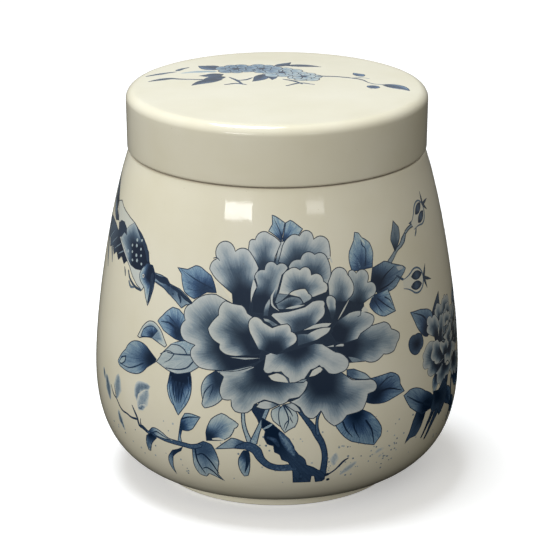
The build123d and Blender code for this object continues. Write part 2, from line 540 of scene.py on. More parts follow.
def filled_triangles(art):
    """The artwork as one flat triangle mesh: points, triangles, and each triangle's topmost shape."""
    outlines = [shape[0] for shape in art.shapes]
    ring_points = np.vstack(outlines)
    edges, first = [], 0
    for outline in outlines:
        count = len(outline)
        edges.extend((first + i, first + (i + 1) % count) for i in range(count))
        first += count
    low, high = ring_points.min(axis=0), ring_points.max(axis=0)
    # Rows at this share of the step, every other one set off by half, make even triangles
    row_share = 0.87
    columns = np.arange(low[0], high[0], FILL_STEP)
    rows = np.arange(low[1], high[1], FILL_STEP * row_share)
    grid = np.array([(x + FILL_STEP / 2 * (k % 2), y) for k, y in enumerate(rows) for x in columns])
    keep = np.zeros(len(grid), bool)
    for outline in outlines:
        near = np.all((grid > outline.min(axis=0)) & (grid < outline.max(axis=0)), axis=1) & ~keep
        if near.any():
            keep[np.flatnonzero(near)[inside(grid[near], outline)]] = True
    points = [Vector(p) for p in np.vstack([ring_points, grid[keep]])]
    made = delaunay_2d_cdt(points, edges, [], 0, JOIN, False)
    flat = np.array([tuple(p) for p in made[0]])
    triangles = np.array([tuple(f) for f in made[2]])
    corner = flat[triangles]
    doubled = np.cross(corner[:, 1] - corner[:, 0], corner[:, 2] - corner[:, 0])
    triangles[doubled < 0] = triangles[doubled < 0][:, ::-1]
    centre = corner.mean(axis=1)
    owner = np.full(len(triangles), -1)
    for index, outline in enumerate(outlines):
        near = np.all((centre > outline.min(axis=0)) & (centre < outline.max(axis=0)), axis=1)
        chosen = np.flatnonzero(near)
        if len(chosen):
            owner[chosen[inside(centre[chosen], outline)]] = index
    solid = np.abs(doubled) > THINNEST
    return flat, triangles[solid], owner[solid]


def lay_prints(art, place, material, body):
    """Turns the artwork into one film per named print, laid on a surface by place(points, lift)."""
    flat, triangles, owner = filled_triangles(art)
    ink = np.zeros((len(triangles), 3))
    tint = np.zeros((len(triangles), 3))
    grain = np.zeros((len(triangles), 3, 3))
    part_of = np.full(len(triangles), "", dtype=object)
    for index, (_, tone, shape_tint, part) in enumerate(art.shapes):
        own = np.flatnonzero(owner == index)
        if not len(own):
            continue
        strength, streaks = tone(flat[triangles[own]].reshape(-1, 2))
        ink[own] = strength.reshape(-1, 3)
        grain[own, :, :2] = streaks.reshape(-1, 3, 2)
        grain[own, :, 2] = index * GRAIN_SHIFT
        tint[own] = shape_tint
        part_of[own] = part
    for part in dict.fromkeys(shape[3] for shape in art.shapes):
        own = np.flatnonzero(part_of == part)
        film = film_mesh(part, flat, triangles[own], ink[own], tint[own], grain[own], place)
        film.materials.append(material)
        piece = add_piece(part, film)
        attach(piece, body)


def joined(*arrays):
    """The arrays' values in one flat row, as a mesh attribute takes them."""
    return np.concatenate([array.ravel() for array in arrays]).astype(np.float32)


def film_mesh(name, flat, triangles, ink, tint, grain, place):
    """A thin film: its face just above the glaze, and a rim that runs down into it."""
    used, local = np.unique(triangles, return_inverse=True)
    local = local.reshape(-1, 3)
    top, normal = place(flat[used], FILM_LIFT)
    sunk, _ = place(flat[used], -FILM_SINK)
    sides = np.stack([local, np.roll(local, -1, axis=1)], axis=2).reshape(-1, 2)
    sorted_sides = np.sort(sides, axis=1)
    _, inverse, count = np.unique(sorted_sides, axis=0, return_inverse=True, return_counts=True)
    free = np.flatnonzero(count[inverse.ravel()] == 1)
    a, b = sides[free].T
    n = len(used)
    rim = np.stack([b, a, a + n, b + n], axis=1)
    triangle_of, corner_of = free // 3, free % 3
    after = (corner_of + 1) % 3
    rim_corner = np.stack([after, corner_of, corner_of, after], axis=1)
    mesh = bpy.data.meshes.new(name)
    faces = [tuple(t) for t in local.tolist()] + [tuple(q) for q in rim.tolist()]
    mesh.from_pydata(np.vstack([top, sunk]).tolist(), [], faces)
    for layer, values in (("ink", ink), ("tint", tint)):
        on_rim = values[triangle_of[:, None], rim_corner]
        attribute = mesh.attributes.new(layer, "FLOAT", "CORNER")
        attribute.data.foreach_set("value", joined(values, on_rim))
    on_rim = grain[triangle_of[:, None], rim_corner]
    attribute = mesh.attributes.new("grain", "FLOAT_VECTOR", "CORNER")
    attribute.data.foreach_set("vector", joined(grain, on_rim))
    mesh.shade_smooth()
    all_normals = np.vstack([normal, normal])
    mesh.normals_split_custom_set([tuple(all_normals[loop.vertex_index]) for loop in mesh.loops])
    return mesh


# ---------------------------------------------------------------------------
# Materials
# ---------------------------------------------------------------------------
class Graph:
    """A short way to write a material's node tree."""

    def __init__(self, name):
        self.material = bpy.data.materials.new(name)
        self.material.use_nodes = True
        self.tree = self.material.node_tree
        self.shader = self.tree.nodes["Principled BSDF"]

    def node(self, kind, **settings):
        """Adds a node. Settings name its properties, or its inputs by in_ and the input's name."""
        made = self.tree.nodes.new(kind)
        for key, value in settings.items():
            if key.startswith("in_"):
                made.inputs[key[3:].replace("_", " ")].default_value = value
            else:
                setattr(made, key, value)
        return made

    def link(self, source, target):
        """Joins an output to an input."""
        self.tree.links.new(source, target)

    def position(self, scale):
        """Object-space position in millimetres, scaled, so that a pattern keeps its real size."""
        place = self.node("ShaderNodeTexCoord")
        grow = self.node("ShaderNodeVectorMath", operation="SCALE")
        grow.inputs["Scale"].default_value = 1000.0 * scale
        self.link(place.outputs["Object"], grow.inputs[0])
        return grow.outputs[0]

    def noise(self, vector, scale, detail=2.0, roughness=0.5):
        """A noise value along a vector."""
        made = self.node("ShaderNodeTexNoise", in_Scale=scale, in_Detail=detail, in_Roughness=roughness)
        self.link(vector, made.inputs["Vector"])
        return made.outputs["Fac"]

    def ramp(self, value, stops):
        """A colour ramp over (position, colour) stops."""
        made = self.node("ShaderNodeValToRGB")
        elements = made.color_ramp.elements
        while len(elements) < len(stops):
            elements.new(1.0)
        for element, (position, colour) in zip(elements, stops):
            element.position = position
            element.color = (*colour, 1.0)
        self.link(value, made.inputs["Fac"])
        return made.outputs["Color"]

    def math(self, operation, a, b, clamp=False):
        """A maths node on two values, each an output or a number."""
        made = self.node("ShaderNodeMath", operation=operation, use_clamp=clamp)
        for socket, value in zip(made.inputs, (a, b)):
            if isinstance(value, (int, float)):
                socket.default_value = value
            else:
                self.link(value, socket)
        return made.outputs[0]

    def mix(self, factor, a, b, blend="MIX"):
        """A colour mix of a and b, each an output or a colour."""
        made = self.node("ShaderNodeMix", data_type="RGBA", blend_type=blend)
        for socket, value in ((made.inputs[0], factor), (made.inputs[6], a), (made.inputs[7], b)):
            if isinstance(value, (int, float)):
                socket.default_value = value
            elif isinstance(value, tuple):
                socket.default_value = (*value, 1.0)
            else:
                self.link(value, socket)
        return made.outputs[2]

    def rough(self, value, smoothest, roughest, low=0.0, high=1.0):
        """Roughness from a pattern: the smoothest where it is low, the roughest where it is high."""
        made = self.node("ShaderNodeMapRange", in_From_Min=low, in_From_Max=high)
        made.inputs["To Min"].default_value = smoothest
        made.inputs["To Max"].default_value = roughest
        self.link(value, made.inputs["Value"])
        self.link(made.outputs[0], self.shader.inputs["Roughness"])

    def bump(self, height, strength, distance):
        """Bump from a height pattern into the shader's normal."""
        made = self.node("ShaderNodeBump", in_Strength=strength, in_Distance=distance)
        self.link(height, made.inputs["Height"])
        self.link(made.outputs[0], self.shader.inputs["Normal"])


# Colours at places in a noise pattern, which runs from 0 to 1
GLAZE = [(0.30, (0.740, 0.696, 0.535)), (0.72, (0.785, 0.748, 0.606))]
GLAZE_SPECK = (0.50, 0.43, 0.29)
GLAZE_IOR = 1.5
BISQUE = [(0.3, (0.50, 0.44, 0.34)), (0.7, (0.66, 0.60, 0.49))]
SILICONE = [(0.3, (0.70, 0.69, 0.64)), (0.7, (0.80, 0.79, 0.75))]
FLOOR = [(0.3, (0.90, 0.90, 0.90)), (0.7, (0.93, 0.93, 0.93))]


def glaze_look(graph):
    """The ivory glaze: cloudy colour, fine iron specks, a slightly uneven gloss. Returns its colour."""
    place = graph.position(1.0)
    cloud = graph.noise(place, 0.045, detail=3.0)
    colour = graph.ramp(cloud, GLAZE)
    fleck = graph.noise(place, 0.9, detail=1.0)
    seen = graph.ramp(fleck, [(0.80, (0.0, 0.0, 0.0)), (0.84, (1.0, 1.0, 1.0))])
    colour = graph.mix(graph.math("MULTIPLY", seen, 0.5), colour, GLAZE_SPECK)
    gloss = graph.noise(place, 0.12, detail=2.0)
    graph.rough(gloss, 0.035, 0.07, low=0.3, high=0.7)
    graph.shader.inputs["IOR"].default_value = GLAZE_IOR
    ripple = graph.noise(place, 0.16, detail=1.5)
    graph.bump(ripple, 0.25, 0.10 * MM)
    return colour


def porcelain_material():
    """The ivory glaze over the fired body."""
    graph = Graph("ivory_porcelain_glaze")
    graph.link(glaze_look(graph), graph.shader.inputs["Base Color"])
    return graph.material


def bisque_material():
    """Bare fired clay: matt, a little grainy, warmer than the glaze."""
    graph = Graph("bare_fired_clay")
    place = graph.position(1.0)
    grain = graph.noise(place, 2.4, detail=5.0, roughness=0.65)
    graph.link(graph.ramp(grain, BISQUE), graph.shader.inputs["Base Color"])
    graph.rough(grain, 0.62, 0.85)
    graph.bump(grain, 0.5, 0.12 * MM)
    return graph.material


def silicone_material():
    """Milky silicone rubber with a fine moulded grain."""
    graph = Graph("milky_silicone")
    place = graph.position(1.0)
    dust = graph.noise(place, 1.1, detail=4.0, roughness=0.6)
    graph.link(graph.ramp(dust, SILICONE), graph.shader.inputs["Base Color"])
    graph.rough(dust, 0.38, 0.55)
    graph.bump(dust, 0.2, 0.04 * MM)
    graph.shader.inputs["Subsurface Weight"].default_value = 0.15
    graph.shader.inputs["Subsurface Radius"].default_value = (0.002, 0.002, 0.0016)
    return graph.material


# How much of the glaze's own colour comes through the print, from bare to full ink
PETAL_INK = [
    (0.00, (1.00, 1.00, 1.00)),
    (0.16, (0.72, 0.81, 1.00)),
    (0.40, (0.33, 0.44, 0.64)),
    (0.66, (0.096, 0.160, 0.290)),
    (1.00, (0.008, 0.022, 0.066)),
]
LEAF_INK = [
    (0.00, (1.00, 1.00, 1.00)),
    (0.22, (0.62, 0.80, 1.00)),
    (0.50, (0.23, 0.40, 0.71)),
    (0.76, (0.055, 0.125, 0.320)),
    (1.00, (0.007, 0.022, 0.070)),
]
# How strongly the streaks break up the ink, in petals and in leaves
STREAKS = (1.2, 2.6)


def print_material():
    """Cobalt under the same glaze, in the strength that each film carries, broken into fine streaks."""
    graph = Graph("cobalt_under_glaze")
    glaze = glaze_look(graph)
    ink = graph.node("ShaderNodeAttribute", attribute_name="ink").outputs["Fac"]
    tint = graph.node("ShaderNodeAttribute", attribute_name="tint").outputs["Fac"]
    grain = graph.node("ShaderNodeAttribute", attribute_name="grain").outputs["Vector"]
    streak = graph.noise(grain, 1.9, detail=3.0, roughness=0.6)
    screen = graph.noise(graph.position(1.0), 2.6, detail=2.0, roughness=0.7)
    # How far the pattern strays from its mean, and how much room the ink leaves it: none when bare or full
    wander = graph.math("SUBTRACT", graph.math("ADD", streak, graph.math("MULTIPLY", screen, 0.5)), 0.75)
    room = graph.math("MULTIPLY", graph.math("SUBTRACT", 1.0, ink), ink)
    force = graph.math("ADD", STREAKS[0], graph.math("MULTIPLY", tint, STREAKS[1] - STREAKS[0]))
    change = graph.math("MULTIPLY", graph.math("MULTIPLY", wander, room), force)
    broken = graph.math("ADD", ink, change, clamp=True)
    petal = graph.ramp(broken, PETAL_INK)
    leaf = graph.ramp(broken, LEAF_INK)
    through = graph.mix(tint, petal, leaf)
    graph.link(graph.mix(1.0, glaze, through, "MULTIPLY"), graph.shader.inputs["Base Color"])
    return graph.material


def floor_material():
    """A plain pale floor."""
    graph = Graph("pale_floor")
    colour = graph.ramp(graph.noise(graph.position(1.0), 0.01), FLOOR)
    graph.link(colour, graph.shader.inputs["Base Color"])
    graph.shader.inputs["Roughness"].default_value = 0.9
    graph.shader.inputs["Emission Color"].default_value = (1.0, 1.0, 1.0, 1.0)
    graph.shader.inputs["Emission Strength"].default_value = FLOOR_GLOW
    return graph.material


# ---------------------------------------------------------------------------
# Camera, light and floor
# ---------------------------------------------------------------------------
VIEW_ELEVATION = math.radians(18.86)
VIEW_DISTANCE = 0.867
# Focal length and sensor width in millimetres, and the lens shift as a share of the frame
LENS = 172.2
SENSOR = 36.0
FRAME_SHIFT = (-0.0027, 0.0013)

middle_height = ((cad_low + cad_high) / 2).z
WHITE = (1.0, 1.0, 1.0)

# Lamps aimed at the jar's middle: place and size in metres, power in watts, colour, whether gloss shows them
LAMPS = (
    ("overhead", (-0.22, 0.06, 1.17), (0.5, 0.5), 11.0, (0.90, 0.945, 1.0), True),
    ("bright_wall", (-0.9, -2.3, 1.0), (2.4, 0.9), 26.5, WHITE, False),
    ("side_wall", (-2.2, -0.9, 0.6), (1.0, 0.8), 6.4, WHITE, False),
    ("sky_behind", (0.0, 1.7, 0.72), (1.6, 0.5), 0.4, (0.62, 0.80, 1.0), True),
)
# Windows mirrored in the glaze: place on the wall in mm, distance and size in metres, power, roll in degrees
WINDOWS = (
    ("window_left", (-14.4, 111.3), 1.3, (0.46, 0.115), 1.7, 3.5),
    ("window_right", (14.4, 111.8), 1.6, (0.36, 0.125), 0.5, -4.5),
)
ROOM_COLOUR = (0.86, 0.83, 0.76, 1.0)
ROOM_GLOW = 0.40
# The room's glow starts this far under the horizon and is full just above it
GLOW_LOW = -0.35
GLOW_HIGH = 0.05
FLOOR_REACH = 6.0
FLOOR_GLOW = 0.32


def make_camera():
    """A long lens in front of the jar, looking a little down at it."""
    data = bpy.data.cameras.new("view")
    data.lens = LENS
    data.sensor_width = SENSOR
    data.shift_x, data.shift_y = FRAME_SHIFT
    camera = bpy.data.objects.new("view", data)
    back = Vector((0.0, -math.cos(VIEW_ELEVATION), math.sin(VIEW_ELEVATION)))
    camera.location = Vector((0.0, 0.0, middle_height)) + back * VIEW_DISTANCE
    camera.rotation_euler = (-back).to_track_quat("-Z", "Y").to_euler()
    bpy.context.scene.collection.objects.link(camera)
    bpy.context.scene.camera = camera


def area_light(name, place, target, size, power, colour=WHITE, roll=0.0):
    """A rectangular lamp at a place, aimed at a target and rolled by some degrees about that aim."""
    data = bpy.data.lights.new(name, "AREA")
    data.shape = "RECTANGLE"
    data.size, data.size_y = size
    data.energy = power
    data.color = colour
    lamp = bpy.data.objects.new(name, data)
    lamp.location = place
    aim = Vector(target) - Vector(place)
    rolled = aim.to_track_quat("-Z", "Y") @ Quaternion((0.0, 0.0, 1.0), math.radians(roll))
    lamp.rotation_euler = rolled.to_euler()
    bpy.context.scene.collection.objects.link(lamp)
    return lamp


def mirror_spot(across, up, distance):
    """A place that the camera sees mirrored in the wall at (across, up), and that point of the wall."""
    place, normal = on_wall(np.array([[across, up]], float), 0.0)
    point, normal = Vector(place[0]), Vector(normal[0])
    away = (bpy.context.scene.camera.location - point).normalized()
    return point + (2 * away.dot(normal) * normal - away) * distance, point


def light_the_room(tree):
    """A dim warm glow from the sides and above, and next to none from under the floor."""
    glow = tree.nodes["Background"]
    glow.inputs["Color"].default_value = ROOM_COLOUR
    heading = tree.nodes.new("ShaderNodeTexCoord").outputs["Generated"]
    parts = tree.nodes.new("ShaderNodeSeparateXYZ")
    tree.links.new(heading, parts.inputs["Vector"])
    strength = tree.nodes.new("ShaderNodeMapRange")
    tree.links.new(parts.outputs["Z"], strength.inputs["Value"])
    strength.inputs["From Min"].default_value = GLOW_LOW
    strength.inputs["From Max"].default_value = GLOW_HIGH
    strength.inputs["To Min"].default_value = 0.0
    strength.inputs["To Max"].default_value = ROOM_GLOW
    tree.links.new(strength.outputs["Result"], glow.inputs["Strength"])


def make_stage():
    """A pale floor, the lamps, the windows and a dim warm room."""
    bpy.context.scene.view_settings.view_transform = "Standard"
    world = bpy.data.worlds.new("room")
    bpy.context.scene.world = world
    world.use_nodes = True
    light_the_room(world.node_tree)
    target = (0.0, 0.0, middle_height)
    for name, place, size, power, colour, mirrored in LAMPS:
        lamp = area_light(name, place, target, size, power, colour)
        lamp.visible_glossy = mirrored
    for name, spot, distance, size, power, roll in WINDOWS:
        place, point = mirror_spot(*spot, distance)
        area_light(name, place, point, size, power, roll=roll)
    mesh = bpy.data.meshes.new("floor")
    corners = [(x * FLOOR_REACH, y * FLOOR_REACH, 0) for x, y in ((-1, -1), (1, -1), (1, 1), (-1, 1))]
    mesh.from_pydata(corners, [], [(0, 1, 2, 3)])
    floor = add_piece("floor", mesh)
    mesh.materials.append(floor_material())
    floor.visible_diffuse = False
    floor.visible_glossy = False


# ---------------------------------------------------------------------------
# Bare clay, and the two surfaces that carry prints
# ---------------------------------------------------------------------------
# Bare clay: the foot ring's face, the ledge that the lid stands on, and the lid's rim
FOOT_TOP = 0.6 * MM
LEDGE_INSIDE = 44 * MM
LEDGE_LOW = 109 * MM
RIM_HIGH = 110.3 * MM
FACES_DOWN = -0.7
FACES_UP = 0.9
# The wall's print surface starts at the corner nearest to this (radius, height), the outer edge of the foot
FOOT_EDGE = (39 * MM, 2.4 * MM)


def bare_clay(piece, is_bare):
    """Gives the bare clay to the faces that is_bare(radius, height, normal) picks, in metres."""
    for face in piece.data.polygons:
        centre = face.center
        if is_bare(math.hypot(centre.x, centre.y), centre.z, face.normal):
            face.material_index = 1


def on_wall(points, lift):
    """Lays flat (across, up) points round the wall: across is measured at the belly, up from the foot."""
    r, z, nr, nz = wall.at(points[:, 1] * MM)
    turn = points[:, 0] * MM / belly_radius
    sine, cosine = np.sin(turn), -np.cos(turn)
    r = r + nr * lift
    place = np.stack([r * sine, r * cosine, z + nz * lift], axis=1)
    return place, np.stack([nr * sine, nr * cosine, nz], axis=1)


def on_lid(points, lift):
    """Lays flat (right, away) points on the lid's top, measured from its middle."""
    reach = np.hypot(*points.T)
    r, z, nr, nz = top.at(reach * MM)
    heading = points / np.maximum(reach, 1e-6)[:, None]
    place = np.column_stack([heading * (r + nr * lift)[:, None], z + nz * lift])
    return place, np.column_stack([heading * nr[:, None], nz])


# ---------------------------------------------------------------------------
# The big peony. Across and up in millimetres, its middle near (0, 78)
# ---------------------------------------------------------------------------
def draw_flower_shade(art):
    """The dark ground that shows between the petals."""
    art.patch([
        (-14, 82), (-12, 92), (-6, 95), (0.5, 97), (2, 94.6), (16, 91), (18.4, 86), (24, 87), (30, 83),
        (30, 78), (32, 74), (31, 64), (22, 63), (20, 60), (24, 55), (10, 50.8), (1, 51.6), (-14, 57),
        (-18, 61.2), (-26, 66), (-25, 75), (-19, 81),
    ], 0.95)


def draw_top_petals(art):
    """The ring of petals that stands up at the back of the flower."""
    art.petal((0.2, 94), [(-1, 94.5), (0, 98.5), (0.9, 102), (3, 102.2), (3.6, 98), (2.5, 94.5)], 0.7, 0.16)
    art.petal((-4.2, 93), [
        (-10.2, 99), (-10, 100.8, 0.6), (-7.8, 102.4, 0.55), (-2.6, 104.4, 0.12), (1.6, 101.5),
        (-0.4, 97.3), (-1.5, 93), (-6.2, 92.8),
    ], 0.92, 0.16)
    art.petal((6.5, 93.6), [
        (0.3, 95.5), (1.8, 100.6, 0.15), (4.3, 103.5, 0.35), (8, 103.6, 0.85), (13.1, 102.3, 0.5),
        (18.6, 101.2, 0.1), (18.8, 96), (12, 92), (4, 94),
    ], 0.92, 0.16)
    art.petal((11, 89), [
        (3.8, 94, 0.4), (8, 96.3, 0.6), (13.2, 97.6, 0.5), (17.8, 96, 0.1), (18.8, 92, 0.2), (17.4, 88),
        (10, 86), (5, 90),
    ], 0.92, 0.24)
    art.patch([(18.3, 97, 0.2), (19.4, 94.2, 0.2)], 0.12)
    art.petal((-11, 82.5), [
        (-14.8, 82), (-15.2, 85.1), (-19.8, 88.2, 0.1), (-23.7, 92, 0.25), (-22.4, 95, 0.1),
        (-21.3, 95.6, 1.2), (-14.6, 98.5, 0.4), (-9.5, 98.8, 0.08), (-6.1, 93.6), (-8.2, 88), (-9, 79),
    ], 0.97, 0.14, 0.35, 0.95)
    art.stroke([(-22.4, 95.6), (-21.2, 95.9), (-20.1, 95)], [0.3, 0.35, 0.2])
    art.petal((-5, 81), [
        (-8.4, 79.5), (-8.3, 83.5), (-6.8, 88, -0.1), (-7.8, 90.8, 0.45), (-4.3, 93.2, 0.8),
        (0, 94.8, 0.55), (3.9, 93.6, 0.1), (1.8, 91.5), (0.2, 86), (-2, 79),
    ], 0.97, 0.16, 0.4, 1.0)
    art.patch([(-7.9, 90.1, 0.1), (-6.9, 87.6, -0.1), (-8.6, 82.8, 0.12)], 0.15)
    art.petal((8, 84.8), [
        (0.3, 85.6), (1.9, 91.6, 0.2), (3.9, 93.3, 0.4), (7.8, 93.1, 0.8), (11.8, 91.3, 0.6), (16, 89, 0.6),
        (16.6, 85.3), (11, 83.8), (3.5, 85.2),
    ], 0.9, 0.14, 0.2, 0.9)


def draw_right_petals(art):
    """The petals that open to the right, from the upright ones round to the widest."""
    art.petal((27, 79), [
        (24.9, 91, 0.6), (27.9, 90.3, 1.0), (32.1, 86.8, 1.1), (33.2, 81.9), (28.5, 79.8), (24, 78),
    ], 0.97, 0.18, 0.3, 0.95)
    art.petal((20.5, 79.5), [
        (17.3, 88.5), (18.9, 91.6, 0.65), (24.8, 90.3, 0.1), (26.3, 88, 0.45), (24.5, 82.5), (20, 77),
        (17.5, 83),
    ], 0.97, 0.15, 0.25, 0.9)
    art.petal((21, 68), [
        (32.8, 73.1), (37.1, 73.4, 0.3), (40.2, 70.5, 0.1), (43.4, 68.6, 0.35), (42.3, 65.5, 0.05),
        (40.8, 63.2, 0.2), (36.3, 62.9, 0.1), (33.7, 61.3, 0.2), (29.3, 61.9), (23.6, 62.3), (19, 67),
        (21, 73),
    ], 0.98, 0.2, 0.35, 0.97)
    art.patch([(23.3, 64.3, 0.1), (28, 62.5, 0.1), (24.6, 62.5)], 0.5)
    art.patch([(20, 82), (25, 82), (28.6, 79.8), (29.5, 76), (22, 74.5), (19, 77)], 0.96)
    art.petal((20, 72), [
        (20.5, 76.5), (24.3, 78.3, 0.1), (28.4, 78.5), (31, 77.5, 0.1), (33.3, 76.1, 0.3), (33.3, 74, 0.15),
        (31.8, 72.5), (28.2, 71), (26.9, 69.4), (23.1, 68.8, 0.1), (19, 69.5), (17, 73),
    ], 0.98, 0.17, 0.3, 0.95)
    art.patch([(29, 78.6), (29.8, 79.4, 0.2), (31, 78.6, 0.2), (31.4, 77.6), (29, 77.8)], 0.1)
    art.stroke([(27.2, 76.5), (28.4, 76.9), (28.6, 78.3)], [0.15, 0.3, 0.3])
    art.patch([(24.7, 82.5, 0.06), (20.2, 76.4, 0.06)], 0.14)
    art.petal((18.4, 77.5), [
        (16.3, 82.2, 0.15), (16.6, 84, 0.4), (18.8, 84.2, 0.4), (19.9, 81.5, 0.1), (19.6, 78.5),
        (18.4, 76.5), (16.9, 78),
    ], 0.9, 0.2, 0.3, 0.9)


def draw_left_petals(art):
    """The petals that open to the left, and the small folded one under them."""
    art.petal((-17.5, 58), [
        (-20, 60.3), (-22.5, 58.5, 0.15), (-24.6, 54.5, 0.1), (-24, 50.5), (-24.3, 49, 0.2),
        (-23.2, 47.6, 0.1), (-19.3, 49.3, 0.05), (-17.2, 51.3), (-13, 56), (-15, 60.6),
    ], 0.95, 0.22, 0.3, 1.0, tint=0.4)
    art.stroke([(-23.8, 50.5), (-23.2, 53), (-21.5, 55.2), (-19.8, 56.2)], [0.15, 0.45, 0.35, 0.15])
    art.stroke([(-20.4, 55.4), (-20.9, 53.4), (-21.7, 51.6)], [0.5, 0.35, 0.1])
    art.petal((-13.5, 67), [
        (-14.8, 82.2), (-20.5, 84.5, 0.25), (-29.5, 80.5, 0.5), (-31.5, 74.9, 0.5), (-31.5, 68.4, 0.1),
        (-27.3, 67.5, 0.4), (-28.6, 63.5, 0.15), (-25.4, 60.5, 0.08), (-20, 60.3, 0.08), (-12, 61.8, 0.05),
        (-5.5, 64.3), (-5, 68), (-9, 78),
    ], 0.98, 0.15, 0.35, 0.95)
    art.patch([(-18.8, 60.1), (-14, 59.8), (-10, 61), (-6, 63.2), (-10, 62.2), (-14, 61)], 0.36)
    art.petal((-6.5, 70.5), [
        (-14.8, 82.2), (-17.2, 82.9, 0.35), (-19.6, 78.1, 0.1), (-23.1, 73.5, 0.3), (-18.8, 68.9, 0.2),
        (-18.8, 67.2, 0.1), (-16.8, 65.8, 0.1), (-12.7, 65.5), (-5.3, 66.4), (-4, 69), (-8, 78.5),
        (-9.7, 79.5, 0.2), (-11.6, 81.9),
    ], 0.97, 0.13, 0.35, 0.95)
    art.patch([(-15.2, 65.1), (-10.2, 64.7), (-5.2, 65.4), (-10.2, 65.3)], 0.3)


def draw_low_petals(art):
    """The broad petals that hang at the front of the flower."""
    art.petal((-3.5, 61.5), [
        (-19.2, 60), (-17.2, 58.6), (-17.9, 56.6, 0.1), (-18.4, 53.6, 0.1), (-17.5, 51.4, 0.2),
        (-14.6, 51.3), (-14.5, 49.4, 0.1), (-13.2, 47.6, 0.15), (-9.3, 47.5, 0.2), (-7, 50.3), (-4, 51.9),
        (-1, 51.1), (0.8, 50.3, 0.1), (3.3, 51.3), (3.8, 52.1), (6.8, 52.6, 0.15), (9.3, 55.6, 0.1),
        (9.9, 57.6), (6, 62), (-4, 65.5), (-8, 62.6), (-13, 60.9),
    ], 0.98, 0.18, 0.32, 0.97)
    art.stroke([(-19, 60.1), (-13, 60.2), (-7.4, 62.4)], [0.2, 1.1, 0.2], 0.3, 0)
    art.petal((14.5, 57), [
        (3.6, 51.4), (5.6, 50.4), (7, 49.4), (8.2, 47.2, 0.1), (9.6, 45.8, 0.15), (11.4, 45.4, 0.15),
        (13.8, 47.8), (14.9, 45.3, 0.1), (18.2, 42.2, 0.05), (20.5, 43.2, 0.1), (22.4, 45.3),
        (25, 45.6, 0.1), (28, 46.4, 0.1), (29.9, 51.2), (32, 51.5, 0.5), (33, 54.4, 0.3), (30, 56.1),
        (24.4, 56.9), (18, 62), (10, 60), (9.3, 55.5), (6.8, 52.7),
    ], 0.98, 0.16, 0.28, 0.97)
    art.petal((6, 69.5), [
        (-3.7, 66.5), (-4.5, 61.8, 0.15), (-3.8, 60.7, 0.3), (-1.2, 60.9, 0.1), (1.3, 61, 0.1),
        (3.5, 58.9, 0.1), (3.9, 57.4), (5.7, 57.4), (8.7, 58.4), (10.8, 61.3, 0.15), (13.5, 62.5, 0.3),
        (14.7, 61.7), (16.4, 59.7, 0.2), (20.5, 59.5, 0.3), (23.4, 61.6, 0.3), (22.8, 64.2, 0.2),
        (19, 66.5), (14.7, 69.5), (5, 71),
    ], 0.98, 0.2, 0.3, 0.85)
    art.patch([
        (-2.7, 59.8), (-0.2, 60.6, 0.2), (2.6, 59.3, 0.1), (3.5, 57.6), (0.5, 58, 0.1), (-1.7, 58.6),
    ], 0.12)
    art.patch([
        (10.2, 59.2), (11.2, 61, 0.1), (13.6, 62.1, 0.2), (14.5, 61.3), (13.9, 60.5), (12, 59.5),
    ], 0.12)
    art.patch([(5.8, 57.5), (7.8, 58.6, 0.1), (9.8, 58.6), (8.5, 57.4, 0.1)], 0.92)
    art.patch([(6.4, 57.6), (8, 58.3, 0.1), (9.4, 58.4), (8.5, 57.7)], 0.4)
    art.patch([(15.9, 68.3), (18.4, 68.7, 0.2), (18.4, 68.1)], 0.25)
    art.patch([(19, 68.2, 0.2), (21.8, 68.6, 0.6), (21.6, 67.9)], 0.2)


